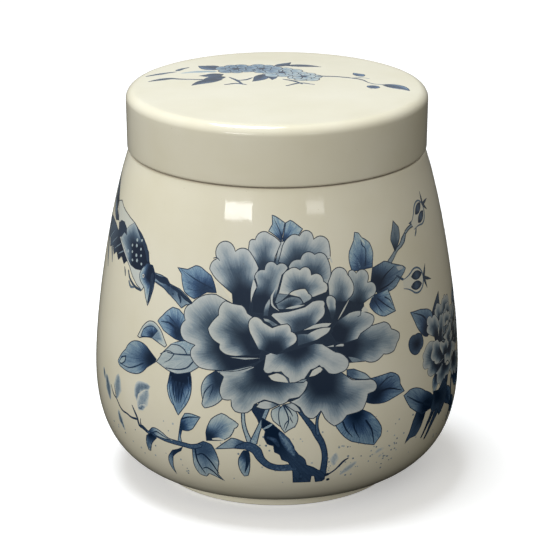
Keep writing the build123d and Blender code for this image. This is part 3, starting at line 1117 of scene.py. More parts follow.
def draw_flower_heart(art):
    """The cupped petals at the middle of the flower."""
    art.patch([
        (-9, 77), (-4.6, 79), (-1, 84.5), (3.5, 85.4), (16, 84), (17.6, 79), (18.5, 73), (12, 69.5),
        (0, 66.6), (-8.5, 69),
    ], 0.95)
    art.petal((8.5, 74), [
        (-2, 78.7, 0.3), (-1.2, 79.8), (3.9, 80.3), (9.2, 81.5), (11.6, 83, 0.15), (15.6, 83.1, 0.4),
        (15.9, 81.1, 0.3), (15.2, 77.7), (12, 75), (5, 73), (1, 76),
    ], 0.85, 0.15, 0.35, 0.9)
    art.patch([(8.6, 74.1), (12, 75.5, 0.1), (17.9, 75.6, 0.3), (14.6, 74.7)], 0.15)
    art.petal((9, 69.5), [
        (6.4, 73, 0.1), (9.9, 73, 0.1), (14.4, 74.6, 0.1), (17.9, 74.4, 0.2), (16.4, 72.3), (13, 70.6),
        (6.5, 69),
    ], 0.8, 0.15, 0.2, 0.8)
    art.petal((-1, 67.5), [
        (-8.8, 73, 0.1), (-9.5, 76, 0.35), (-7.2, 78.6, 0.25), (-4.3, 76.8), (-1.5, 75.2, 0.1),
        (3.4, 76.4, 0.35), (4.7, 73.9, 0.3), (6.6, 71.9, 0.3), (5.4, 69.6), (0, 66.5), (-6, 68),
    ], 0.97, 0.13, 0.3, 0.9)
    art.petal((9, 83.5), [
        (3.7, 85.5, 0.2), (6.6, 87, 0.1), (9.6, 87.2, 0.1), (10.7, 85.6, 0.25), (11.8, 84.5, 0.3),
        (10.9, 83.2), (8.8, 82.3), (7.5, 84.3), (4.7, 85),
    ], 0.35, 0.1)
    art.patch([(-0.6, 83), (0.3, 85.6), (3.7, 85.4), (0.3, 82.6)], 0.5)
    art.petal((4, 81.3), [
        (-0.5, 82.6), (2.8, 84.3, 0.2), (7, 84.6, 0.3), (8.7, 82.4, 0.1), (4, 81, 0.1), (0.4, 80.7, 0.1),
    ], 0.95, 0.5)
    art.patch([(2.7, 81, 0.12), (9.2, 82, 0.12)], 0.2)
    art.stroke([(-0.5, 87.2), (-1.7, 84.8), (-1.5, 82.2), (0.6, 80.4)], [0.1, 0.7, 0.6, 0.1], 0.18, 0)
    art.petal((-2.4, 79.5), [
        (-4.6, 78.6, 0.15), (-3.6, 83, 0.1), (-2.3, 84.5, 0.1), (-2, 83), (-2.8, 78.5),
    ], 0.8, 0.3)
    art.petal((-1.5, 76.6), [
        (-4.6, 78.2), (-2.9, 78, 0.1), (0.5, 75.9, 0.1), (-1.4, 75.3, 0.1), (-2.6, 76.4), (-4.2, 77, 0.2),
    ], 0.6, 0.28)


def draw_peony(art):
    """The whole flower, from its farthest petals to its nearest."""
    draw_flower_shade(art)
    draw_top_petals(art)
    draw_right_petals(art)
    draw_left_petals(art)
    draw_low_petals(art)
    draw_flower_heart(art)


# ---------------------------------------------------------------------------
# The leaves round the big peony
# ---------------------------------------------------------------------------
def draw_high_leaves(art):
    """The leaves that rise behind the top of the flower."""
    art.foliage((2, 102), [
        (-1.9, 110.1), (-1.8, 107.2), (-3.2, 105, -0.1), (1.6, 101.6), (3, 107.7), (0.2, 109.4, 0.1),
    ])
    art.foliage((2.5, 102), [
        (3, 107.7), (4.8, 108.5, 0.1), (6.7, 107.5), (9.4, 105.6), (7.9, 103.7), (1.8, 101.8),
    ])
    art.stroke([(2, 102.5), (0.8, 105.5), (-1.2, 109)], [0.4, 0.3, 0.1], 0.95, 1)
    art.foliage((-25, 85), [
        (-36.3, 90.9), (-32, 91), (-29, 92.6, 0.2), (-25.6, 91.7), (-22.8, 90.2, 0.1), (-20.5, 84.8),
        (-24, 84.6), (-28.5, 81.9, 0.1), (-32.6, 83.6, 0.1), (-34.4, 89),
    ], 0.92, 0.45)
    art.stroke([(-22, 86), (-28, 88), (-34.5, 90.4)], [0.5, 0.35, 0.1], 0.95, 1)
    art.stroke([(-24, 86.4), (-28, 84.8), (-31.5, 85)], [0.4, 0.25, 0.1], 0.9, 1)
    art.patch([(-20.9, 88.2), (-19.8, 88), (-15, 82.6), (-20.2, 84.5)], 0.04)
    art.foliage((30.5, 91.8), [
        (28.6, 103), (27.9, 100.5), (25.9, 97.4, 0.1), (25.5, 94.5, 0.1), (26.5, 90.8), (34.6, 91),
        (35.5, 95.5, 0.1), (34.4, 99, 0.1), (31.5, 101), (30.4, 102.6, 0.1),
    ], 0.85, 0.34)
    art.stroke([
        (31, 101), (31.1, 98.8), (32.3, 97.5), (32.4, 95.5), (31.7, 92),
    ], [0.2, 0.45, 0.3, 0.45, 0.6], 0.93, 1)
    art.stroke([(29.5, 92), (28.8, 94.5), (27.5, 96.5)], [0.8, 0.5, 0.15], 0.7, 1)
    art.patch([(30.7, 101.6, 0.1), (32.6, 98.6, 0.3)], 0.2, 1)


def draw_right_leaves(art):
    """The dark leaves and the fresh shoot to the right of the flower."""
    art.stroke([
        (42, 91.3), (44.2, 93), (46, 94.5), (49, 96), (52.6, 99.6),
    ], [2.0, 1.5, 1.4, 2.2, 0.6], 0.8, 0)
    art.stroke([(42, 91.3), (44.2, 93), (46, 94.5), (49, 96), (52, 99)], [1.3, 0.9, 0.6, 1.2, 0.3], 0.42, 0)
    art.foliage((45.5, 94), [
        (46.4, 104), (48.8, 101.5, 0.1), (48.6, 98, 0.1), (45.2, 94), (43.8, 98, 0.1), (45, 101),
    ], 0.95, 0.5, tint=0)
    art.foliage((36, 86), [
        (34.4, 91), (39.6, 92.3, 0.1), (43, 91), (47.9, 89.3, 0.1), (49.6, 88, 0.1), (46.9, 85.7),
        (44, 83.3, 0.1), (40.5, 82.3), (36, 82), (33, 86),
    ], 1.0, 0.5, tint=0.5)
    art.patch([(44.9, 89.4), (47.6, 89.2, 0.15), (48.4, 88.3, 0.1), (45.8, 88)], 0.25)
    art.stroke([(36, 85), (40, 88), (44, 89.8)], [0.7, 0.5, 0.2], 1.0, 0.5)
    art.stroke([(36.5, 83.5), (41, 84.6), (45.5, 86.6)], [0.6, 0.4, 0.15], 1.0, 0.5)
    art.foliage((33.5, 81.5), [
        (32, 79.8), (33.6, 82.4), (40.1, 83.4), (41.2, 80.5), (42.7, 75.6), (38, 74.8, 0.15),
        (34.6, 76.2, 0.1), (32.2, 78.8),
    ], 0.92, 0.42)
    art.stroke([(35.5, 81), (38.5, 78.5), (42, 76)], [0.6, 0.45, 0.2], 0.97, 1)
    art.stroke([(34.2, 80.6), (35.8, 78), (37.4, 76)], [0.5, 0.35, 0.1], 0.95, 1)
    art.stroke([(38.5, 81), (40.5, 79.6), (41.5, 77.6)], [0.5, 0.35, 0.1], 0.95, 1)
    art.stroke([(28.6, 79.9), (30, 81), (31.8, 81.8), (33.8, 82)], [0.4, 0.9, 0.9, 0.3], 0.3, 0.5)
    art.foliage((33, 50.8), [
        (30.5, 56.2), (38.6, 56.7, 0.15), (42, 54.8, 0.2), (42.6, 52), (44.4, 49), (37.3, 47.3, 0.1),
        (32.5, 47.4, 0.1), (29, 48.6), (29, 53),
    ], 1.0, 0.55, tint=0.8)
    art.stroke([(33.5, 51), (38, 51.4), (43.2, 49.6)], [0.8, 0.6, 0.2], 1.0, 0.8)
    art.stroke([(34, 53), (37.5, 55), (40.5, 55)], [0.5, 0.35, 0.1], 0.98, 0.8)
    art.petal((23.5, 59.6), [
        (22.5, 60.4), (25.1, 60.3), (29, 58.3, 0.05), (31.4, 55.8), (28.5, 56.1), (24.4, 57), (22.5, 58.4),
    ], 0.7, 0.35, tint=0.5)
    art.foliage((25.5, 45.5), [
        (27.9, 46.5), (30.5, 45, 0.1), (34.9, 39.5, 0.15), (34.9, 36), (32.6, 33.2), (29.5, 34.1),
        (24.2, 36, 0.1), (20.1, 39.8), (18.3, 42.6), (22, 47), (25, 47),
    ], 1.0, 0.5)
    art.stroke([(21, 43.4), (22.2, 40.5), (24.5, 37.6)], [0.6, 0.5, 0.15], 0.98, 1)
    art.stroke([(24.5, 42.6), (25.2, 40), (26.8, 37)], [0.6, 0.45, 0.15], 0.98, 1)
    art.stroke([(29, 42.6), (31.2, 39), (32.4, 34)], [0.7, 0.5, 0.3], 0.98, 1)


def draw_left_buds(art):
    """The leaves and the opening bud to the left of the flower."""
    art.foliage((-34, 70.5), [
        (-34, 78), (-36.6, 78.2, 0.1), (-40.7, 74.6, 0.1), (-42.6, 72.4), (-39.6, 69.8), (-35.2, 68.2, 0.1),
        (-31, 68), (-30, 75),
    ], 0.97, 0.42)
    art.stroke([(-34, 71), (-37.4, 72.8), (-41, 72.6)], [0.9, 0.6, 0.2], 0.95, 1)
    art.stroke([(-35, 73), (-38, 75), (-39, 74.8)], [0.6, 0.45, 0.1], 0.9, 1)
    art.petal((-44.5, 66.6), [
        (-51.5, 65.3), (-49.7, 68.6, 0.1), (-46.8, 71.5, 0.3), (-42, 70.9, 0.15), (-39.6, 68.3),
        (-37.8, 65.5), (-38.7, 64.6), (-44.2, 66.3, -0.12), (-50.1, 65),
    ], 0.5, 0.12, 0.6, 0.9, tint=0.5)
    art.foliage((-44, 67.2), [
        (-49.9, 65.6), (-48.8, 68.4, 0.15), (-44.9, 70.4, 0.2), (-42, 69.3), (-44.2, 66.7),
    ], 0.95, 0.5)
    art.foliage((-43, 59.7), [
        (-41.8, 60.2), (-46.4, 63.3, 0.15), (-51.5, 63.9, 0.25), (-57.3, 59.5, 0.1), (-61.7, 54.2, 0.3),
        (-58.9, 52.7, 0.1), (-51.8, 52.7, 0.2), (-46, 56.2), (-41.9, 59.2),
    ], 1.0, 0.4, tint=0.8)
    art.patch([(-61, 54), (-59.4, 56.4), (-56.6, 57.6, 0.1), (-57, 55.2), (-58.8, 53.9, 0.1)], 0.9, 0.8)
    art.patch([(-60.6, 54.2), (-59.2, 55.9), (-57.2, 56.8, 0.1), (-57.6, 55.3), (-59, 54.3, 0.1)], 0.3, 0.8)
    art.stroke([(-60, 53.8), (-54, 54.2), (-47.5, 57.4)], [0.2, 0.45, 0.5], 0.9, 0.8)
    art.foliage((-32.3, 57.5), [
        (-36, 58), (-37.1, 52.4, 0.1), (-36.2, 48.8, 0.1), (-34.4, 46.4, 0.05), (-32.6, 43.5),
        (-30.6, 46.2, 0.08), (-28.5, 49.8, 0.1), (-27.8, 54, 0.1), (-28.6, 59),
    ], 1.0, 0.42, 0.4)
    art.stroke([(-35.6, 56), (-36, 51.6), (-34.8, 48), (-33.2, 45)], [0.2, 0.35, 0.35, 0.15], 0.8, 1)
    art.stroke([(-29.2, 57), (-28.8, 52.6), (-30.2, 49), (-31.6, 46.2)], [0.2, 0.3, 0.3, 0.1], 0.8, 1)
    for lean in (-2.4, -1.2, 0.2, 1.6):
        art.stroke([
            (-32.4 + lean, 54.5), (-32.6 + lean * 0.8, 51), (-32.6 + lean * 0.4, 47.6),
        ], [0.8, 0.5, 0.1], 0.95, 1)
    art.petal((-27, 64), [
        (-40.8, 61), (-39.6, 62.9), (-36.4, 66.2, 0.1), (-31.6, 68.3, 0.1), (-27.3, 67.7),
        (-28.4, 64.2, -0.05), (-25.4, 60.6), (-28.2, 58.6, 0.05), (-33.2, 57, 0.1), (-38, 57.8),
        (-42, 59.3),
    ], 0.35, 0.26, tint=0.35)
    art.patch([
        (-36.2, 66.5), (-31.6, 68.1, 0.1), (-27.6, 67.5), (-28.6, 64.6), (-30.2, 64.4), (-31.4, 65.8),
        (-33.2, 66.5),
    ], 0.38, 0.8)
    art.stroke([(-36.4, 66.2), (-33.2, 66.4), (-31, 65.4), (-30, 64)], [0.2, 0.35, 0.4, 0.3])
    art.stroke([(-37.6, 63.4), (-34.6, 63.4), (-28.5, 64.1)], [0.3, 0.45, 0.55])
    art.stroke([(-40.4, 62.2), (-37.4, 63.9), (-34.8, 63.4)], [0.25, 0.35, 0.3])
    art.stroke([(-34.8, 63.3), (-36.4, 61.2), (-38.6, 59.8)], [0.4, 0.3, 0.1])
    art.stroke([(-37.8, 58.2), (-33.2, 58.6), (-29.8, 59.8), (-27.7, 62)], [0.3, 0.45, 0.5, 0.5])


# ---------------------------------------------------------------------------
# The trunk, stems and leaves below the flower
# ---------------------------------------------------------------------------
def draw_root_leaves(art):
    """The leaves that spring from the stems near the foot."""
    art.petal((-22, 37.5), [
        (-22.8, 36.6), (-23, 39.5, 0.1), (-21.1, 44.4, 0.1), (-17.6, 46.8, 0.15), (-15, 45.6, 0.1),
        (-12, 43.6, 0.3), (-13.3, 41.9, 0.1), (-14.8, 38.9), (-17, 37.4), (-20.2, 37),
    ], 0.97, 0.26, 0.2, 0.9, tint=0.6)
    art.petal((-11, 36), [
        (-20.2, 34), (-17.5, 36.4), (-14.5, 38.8, 0.1), (-12, 38.4), (-8, 37), (-9, 35), (-14, 35),
    ], 0.8, 0.42, 0.1, 0.7, tint=0.6)
    art.stroke([(-20.6, 37.6), (-18.6, 37.9), (-16.8, 37.6)], [0.5, 0.9, 0.4], 0.08, 0)
    art.petal((-24, 33), [
        (-28.1, 33.9), (-28.4, 27.7, 0.15), (-26.9, 22.8, 0.1), (-24.5, 22.2, 0.1), (-23.2, 23.8),
        (-21, 22.9), (-18, 21.2), (-19.9, 24.5), (-18.9, 29.5, 0.12), (-21, 35.6, 0.1), (-24, 36.4),
    ], 0.8, 0.34, 0.1, 0.9, tint=0.6)
    art.stroke([(-27, 33.8), (-26.6, 28.4), (-24.6, 23.6)], [0.6, 0.6, 0.3], 0.97, 0.6)
    art.stroke([(-26.6, 30.8), (-24.4, 31.6), (-21.8, 29), (-19.6, 24.6)], [0.3, 0.6, 0.6, 0.3], 0.97, 0.6)
    art.stroke([(-25, 25.8), (-23.6, 26.4), (-21.4, 25), (-19.2, 22.2)], [0.3, 0.6, 0.5, 0.3], 0.97, 0.6)
    art.foliage((-9, 33), [
        (-8.9, 34.6), (-10.6, 34.8, 0.1), (-12.5, 31.2, 0.2), (-10.9, 24.4), (-9.5, 24.8, 0.1),
        (-8.6, 30, 0.1),
    ], 0.97, 0.35, tint=0.8)
    art.stroke([(-9.3, 33.5), (-9.6, 29.5), (-10.6, 26)], [1.3, 1.1, 0.2], 0.95, 0.8)


def draw_trunk(art):
    """The gnarled trunk, cut off flat at the foot, and the stems that leave it."""
    dark_blue = 0.7
    art.stem([
        (-10.7, 48.5), (-10.4, 43.6), (-9.2, 39.5), (-8, 36.6),
    ], [1.3, 1.4, 1.6, 2.2], 0.35, dark_blue)
    art.patch([
        (-8.1, 48.6), (-6.6, 50.8), (-3, 49.4), (-4.2, 46.5), (-5.2, 43.2, 0.1), (-6.2, 45.5),
    ], 0.94, dark_blue)
    art.stem([(-2.9, 49.4), (-4.6, 45), (-6.1, 41.4), (-7.4, 37.6)], [1.6, 1.6, 1.7, 2.6], 0.42, dark_blue)
    art.stem([
        (-13, 35.6), (-9.6, 36.3), (-6.7, 35), (-5.2, 32), (-2.9, 29.6), (0.3, 28.5), (4.2, 28.6),
        (7.4, 28.6), (10.8, 27.4), (13.8, 25.4),
    ], [1.2, 3.2, 3.4, 2.6, 2.5, 2.6, 2.7, 2.7, 2.6, 2.2], 0.78, dark_blue)
    art.stem([
        (5.2, 50.3), (7.5, 47.7), (9.3, 45.2), (11.3, 42.4), (12.9, 39.4), (14.2, 37), (15.1, 34),
        (15.4, 31.2), (15.3, 28), (15, 24),
    ], [1.2, 1.6, 1.8, 2.2, 2.3, 2.1, 2.0, 2.1, 2.3, 2.8], 0.82, dark_blue)
    art.stem([(13.6, 47.8), (12.7, 45.6), (12.5, 42.8), (12.9, 40.2)], [0.9, 1.0, 1.1, 1.5], 0.7, dark_blue)
    art.foliage((-2.4, 40), [
        (-4.9, 46.4), (-4.9, 43), (-3.8, 41.6), (-4.2, 39.4), (-3.2, 37.3, 0.1), (-1.2, 36.6), (-0.9, 34.4),
        (0.8, 33.4), (1.4, 31.6), (3.4, 30.6), (4.6, 29), (5, 26.4), (5.3, 21.9, 0), (11.4, 21.7),
        (11.5, 24.4), (12.3, 24.4), (13, 21.5), (15.4, 21.6), (16.3, 22.4), (16.1, 24.8), (14.6, 26.4),
        (12, 27.9), (9.6, 29.4), (9.2, 31.2, 0.1), (7, 33.4), (4.9, 36.3), (2.8, 39.5), (2.4, 40.8),
        (-1.5, 44.4),
    ], 1.0, 0.86, tint=dark_blue)
    art.brush([(1, 41), (2.6, 38.4), (4.2, 35.6), (5.6, 33)], [1.4, 3.0, 2.8, 1.2], 0.58, dark_blue, 0.95)
    art.brush([(-3, 39.6), (-0.8, 38.6), (0.6, 36.4)], [0.8, 1.6, 0.8], 0.72, dark_blue, 0.95)
    art.brush([(-0.5, 28.3), (2.6, 27.9), (6, 28)], [1.2, 1.6, 0.8], 0.62, dark_blue, 0.85)
    art.stroke([(-4.2, 42.4), (-2.8, 43.2), (-1.6, 44)], [0.4, 0.8, 0.5], 0.42, dark_blue)
    art.brush([(7.6, 27), (8, 25), (7.6, 22.8)], [0.8, 1.6, 0.8], 0.78, dark_blue, 0.95)
    for knot in ((17.4, 22.2), (16.9, 24.6)):
        art.dot(*knot, 1.3, 0.94)


def draw_hanging_bud(art):
    """The little round bud that hangs under the flower, folded from pale sepals."""
    art.petal((1.5, 50), [
        (1, 50.4), (-1.6, 49, 0.1), (-2, 47.3, 0.1), (-1.2, 45), (0.9, 43.2), (2, 46),
    ], 0.4, 0.2, tint=0.5)
    art.petal((2, 50.5), [
        (1.9, 50.6), (0.6, 49.2, 0.1), (0.6, 44.6, 0.15), (2.5, 41), (3.8, 42), (5.6, 43, 0.15),
        (6.7, 46, 0.2), (5, 49.4),
    ], 0.45, 0.24, 0.1, 0.6, tint=0.5)
    art.stroke([(2, 50.2), (3.2, 47.4), (3.6, 45), (2.6, 42)], [0.5, 0.45, 0.4, 0.25])
    art.stroke([(3.6, 45.3), (2.6, 44.2), (2.1, 42.6)], [0.3, 0.35, 0.2])
    art.stroke([(2.4, 50.2), (4, 48.4), (4.9, 46.6)], [0.45, 0.5, 0.2])
    art.stroke([(4, 46.6), (4.4, 45.4), (5, 44.4)], [0.2, 0.35, 0.2])
    art.petal((-0.5, 50.2), [
        (-6.7, 49.6), (-5.6, 51.2, 0.1), (-3.7, 51.9, 0.1), (-0.6, 51), (0.8, 50.4), (-1.6, 49.2, 0.1),
        (-4, 48.8, 0.1),
    ], 0.55, 0.2, 0.1, 0.6)
    art.petal((2.6, 50.6), [
        (2, 50.6), (4.7, 51.2, 0.1), (6.6, 49.7, 0.1), (7.7, 47.6), (5.4, 48.2), (3.4, 49.6),
    ], 0.5, 0.22, 0.1, 0.6)


def draw_left_twig(art):
    """The long twig low on the left, with its drooping bud and its pale brushed leaves."""
    art.brush([(-61.8, 42), (-61.3, 45.2), (-60.9, 48.6)], [1.8, 5.4, 3.2], 0.46, 0.1)
    art.brush([(-67.2, 39.6), (-68.2, 42.6), (-69.6, 46)], [1.8, 4.8, 2.6], 0.62, 0.1)
    art.brush([(-71.2, 44.8), (-72, 46.4), (-72.8, 48)], [1.0, 2.2, 1.0], 0.8, 0.1)
    art.brush([(-50, 45.4), (-49.2, 48.8), (-45, 50.2)], [3.0, 4.2, 2.4], 0.56, 0.1)
    art.brush([(-48.8, 42.4), (-47.4, 45), (-45.4, 48.2)], [3.2, 5.4, 2.6], 0.4, 0.1)
    art.brush([(-49.2, 41.9), (-47.8, 42.5), (-46.4, 43.6)], [1.2, 2.2, 1.0], 0.66, 0.1)
    art.brush([(-61.3, 37), (-60.5, 34.2), (-59, 31.2)], [1.2, 3.0, 0.8], 0.72, 0.1)
    art.stroke([
        (-50.9, 37.6), (-53.7, 37.4), (-55.9, 37.9), (-58.4, 38.1), (-60.3, 39.2), (-62.1, 41), (-64.2, 42),
        (-66, 44.6),
    ], [0.8, 0.7, 0.6, 0.6, 0.55, 0.5, 0.45, 0.2])
    art.stroke([(-62.2, 41), (-62.8, 43), (-63.6, 45.5)], [0.4, 0.4, 0.15])
    art.stroke([
        (-46, 34.6), (-48, 35.6), (-49.6, 35.8), (-50.4, 38.2), (-51.5, 40), (-52.8, 41.8),
    ], [1.2, 1.5, 0.9, 0.8, 0.7, 0.3])
    art.stroke([(-48.6, 35.6), (-48.9, 37.2), (-48.7, 38.4)], [0.7, 0.4, 0.2])
    art.stem([
        (-46, 34.5), (-42.2, 34.6), (-38.2, 34), (-34.8, 33.8), (-31, 33.7), (-28, 33.6), (-25, 34.6),
    ], [1.1, 1.9, 1.9, 1.8, 1.8, 1.9, 1.7], 0.74, 0.6)
    art.foliage((-45, 34), [
        (-44.4, 34.8), (-46.6, 33.2, 0.1), (-47.5, 30, 0.05), (-47.2, 27.4, 0.2), (-46, 27.3),
        (-44.6, 30.5, -0.05), (-41.8, 33.4),
    ], 1.0, 0.6, tint=0.6)
    art.petal((-45.2, 34.2), [
        (-45.6, 34.8), (-43.8, 36.7, 0.2), (-41, 36.9, 0.1), (-37.6, 35.2), (-35, 34.2), (-38.6, 33.9),
        (-42, 34.1, -0.1),
    ], 0.85, 0.3, 0.1, 0.8, tint=0.6)
    art.stroke([(-43.6, 34.9), (-41.6, 35.8), (-39, 35), (-37, 34.4)], [0.2, 0.45, 0.4, 0.2], 0.95, 0.6)
    art.foliage((-32, 40), [
        (-33.3, 34.4), (-32.3, 39.4), (-31.7, 42.4), (-30.3, 44.8, 0.1), (-27.3, 45.1), (-24.5, 44.5),
        (-26, 42), (-27.2, 40.1, 0.1), (-29, 38.9, 0.1), (-31.2, 38.8), (-31.9, 36.5), (-31.6, 34.4),
    ], 0.95, 0.4)
    art.stroke([(-31.4, 42.6), (-28.6, 43.8), (-25.2, 44.2)], [0.6, 0.45, 0.2], 0.95, 1)
    art.foliage((-34, 30), [
        (-31.4, 33), (-33.6, 31.6), (-36, 30.6), (-38, 28, 0.15), (-38.6, 24, 0.08), (-37.2, 19.9),
        (-37, 24), (-36, 28, -0.1), (-32.4, 31),
    ], 0.95, 0.45, tint=0.6)
    art.stroke([(-33.6, 31), (-35.6, 29.4), (-36.6, 26.6)], [0.2, 0.4, 0.15], 0.95, 0.6)


def draw_right_twig(art):
    """The thin twig by the trunk's foot, with a few dry brush marks."""
    art.brush([(18.6, 28.6), (18.7, 30.6), (19, 32.4)], [1.5, 3.2, 1.4], 0.3, 0.1)
    art.brush([(21.6, 24), (23.6, 25.8), (26.4, 28)], [1.0, 2.6, 1.2], 0.32, 0.1)
    art.brush([(33, 29.6), (34.6, 30.8), (36.6, 31)], [0.8, 1.7, 0.8], 0.26, 0.1)
    art.brush([(35, 28), (35.8, 28.6), (36.6, 28.6)], [0.5, 1.1, 0.5], 0.24, 0.1)
    art.stroke([
        (16.4, 24.1), (18.9, 25.8), (20.3, 27.3), (21.9, 29.2), (23.5, 30.2),
    ], [0.8, 0.55, 0.6, 0.8, 0.4])


# ---------------------------------------------------------------------------
# Rose hips, the bird on its branch, and specks
# ---------------------------------------------------------------------------
def draw_hip(art, across, up, size, heading):
    """A cut rose hip, its neck pointing along heading: a pale fruit, two dark seeds and a split crown."""
    along = np.array([math.cos(heading), math.sin(heading)]) * size
    beside = np.array([-along[1], along[0]])
    middle = np.array([across, up])
    for shrink, ink in ((1.0, 0.62), (0.86, 0.06)):
        shoulders = [middle + shrink * (0.5 * along + side * 0.87 * beside) for side in (1, -1)]
        neck = [middle + 1.65 * along + shrink * side * 0.36 * beside for side in (-1, 1)]
        art.patch([(*shoulders[0], 1.73), (*shoulders[1], -0.12), (*neck[0],), (*neck[1], -0.12)], ink, 0.2)
    for side in (-1, 1):
        seed = middle + 0.06 * side * along + 0.37 * side * beside
        art.petal(seed, [
            (*(seed - 0.74 * along), 0.46), (*(seed + 0.74 * along), 0.46),
        ], 0.72, 0.95, tint=0.3)
    crown = middle - along
    for lean, reach in ((-1.15, 1.05), (0.3, 1.2), (1.15, 0.95)):
        tip = crown + reach * (math.sin(lean) * beside - math.cos(lean) * along)
        art.stroke([crown, (crown + tip) / 2, tip], [0.3 * size, 0.24 * size, 0.1], 0.86, 0)


def draw_hips(art):
    """Two rose hips on their stalks."""
    art.stem([(52, 99), (54.2, 99.9), (57, 100.4)], [1.3, 1.2, 1.4], 0.42, 0)
    art.stroke([(54.8, 101.2), (56, 101.2), (57.2, 101.6)], [0.3, 0.9, 0.5], 0.75, 0)
    art.stroke([(57.2, 96.6), (58.2, 97.8), (58.8, 99)], [0.3, 0.8, 0.5], 0.65, 0)
    draw_hip(art, 62.8, 103, 4.1, 3.62)
    art.stroke([(44.6, 86.6), (46.4, 85.4), (48.4, 84.2)], [0.5, 0.9, 0.7], 0.8, 0.3)
    draw_hip(art, 54.5, 82.9, 4.3, 3.1)


def draw_branch(art):
    """The knotted branch that the bird clings to."""
    art.foliage((-38, 85), [
        (-48.5, 87.4), (-42.8, 87.3), (-40, 86.7), (-38.7, 85.3), (-34.5, 84.4), (-31.5, 82.8),
        (-28.7, 80.5), (-31.5, 79.5), (-33.2, 78.2), (-35.5, 79.9), (-37.8, 81.3), (-40.5, 82.9),
        (-42.3, 83.5), (-46, 84.4),
    ], 0.8, 0.45, tint=0.4)
    art.stroke([
        (-46.5, 86.6), (-43.4, 85.8), (-40.6, 85.6), (-38.8, 84.6),
    ], [1.0, 1.8, 2.2, 1.0], 0.96, 0.5)
    art.stroke([(-38, 84.4), (-34.8, 83.4), (-31.6, 81.6), (-29.6, 80.6)], [0.8, 1.2, 1.4, 0.7], 0.95, 0.5)
    art.stroke([(-34.8, 82.6), (-33.9, 81.2), (-33.6, 80)], [0.8, 1.0, 0.4], 0.93, 0.5)
    art.dot(-37, 82.2, 0.8, 0.85)
    art.stroke([(-45, 84.6), (-41.6, 83.6), (-38.6, 81.8)], [0.3, 0.5, 0.3], 0.85, 0.3)


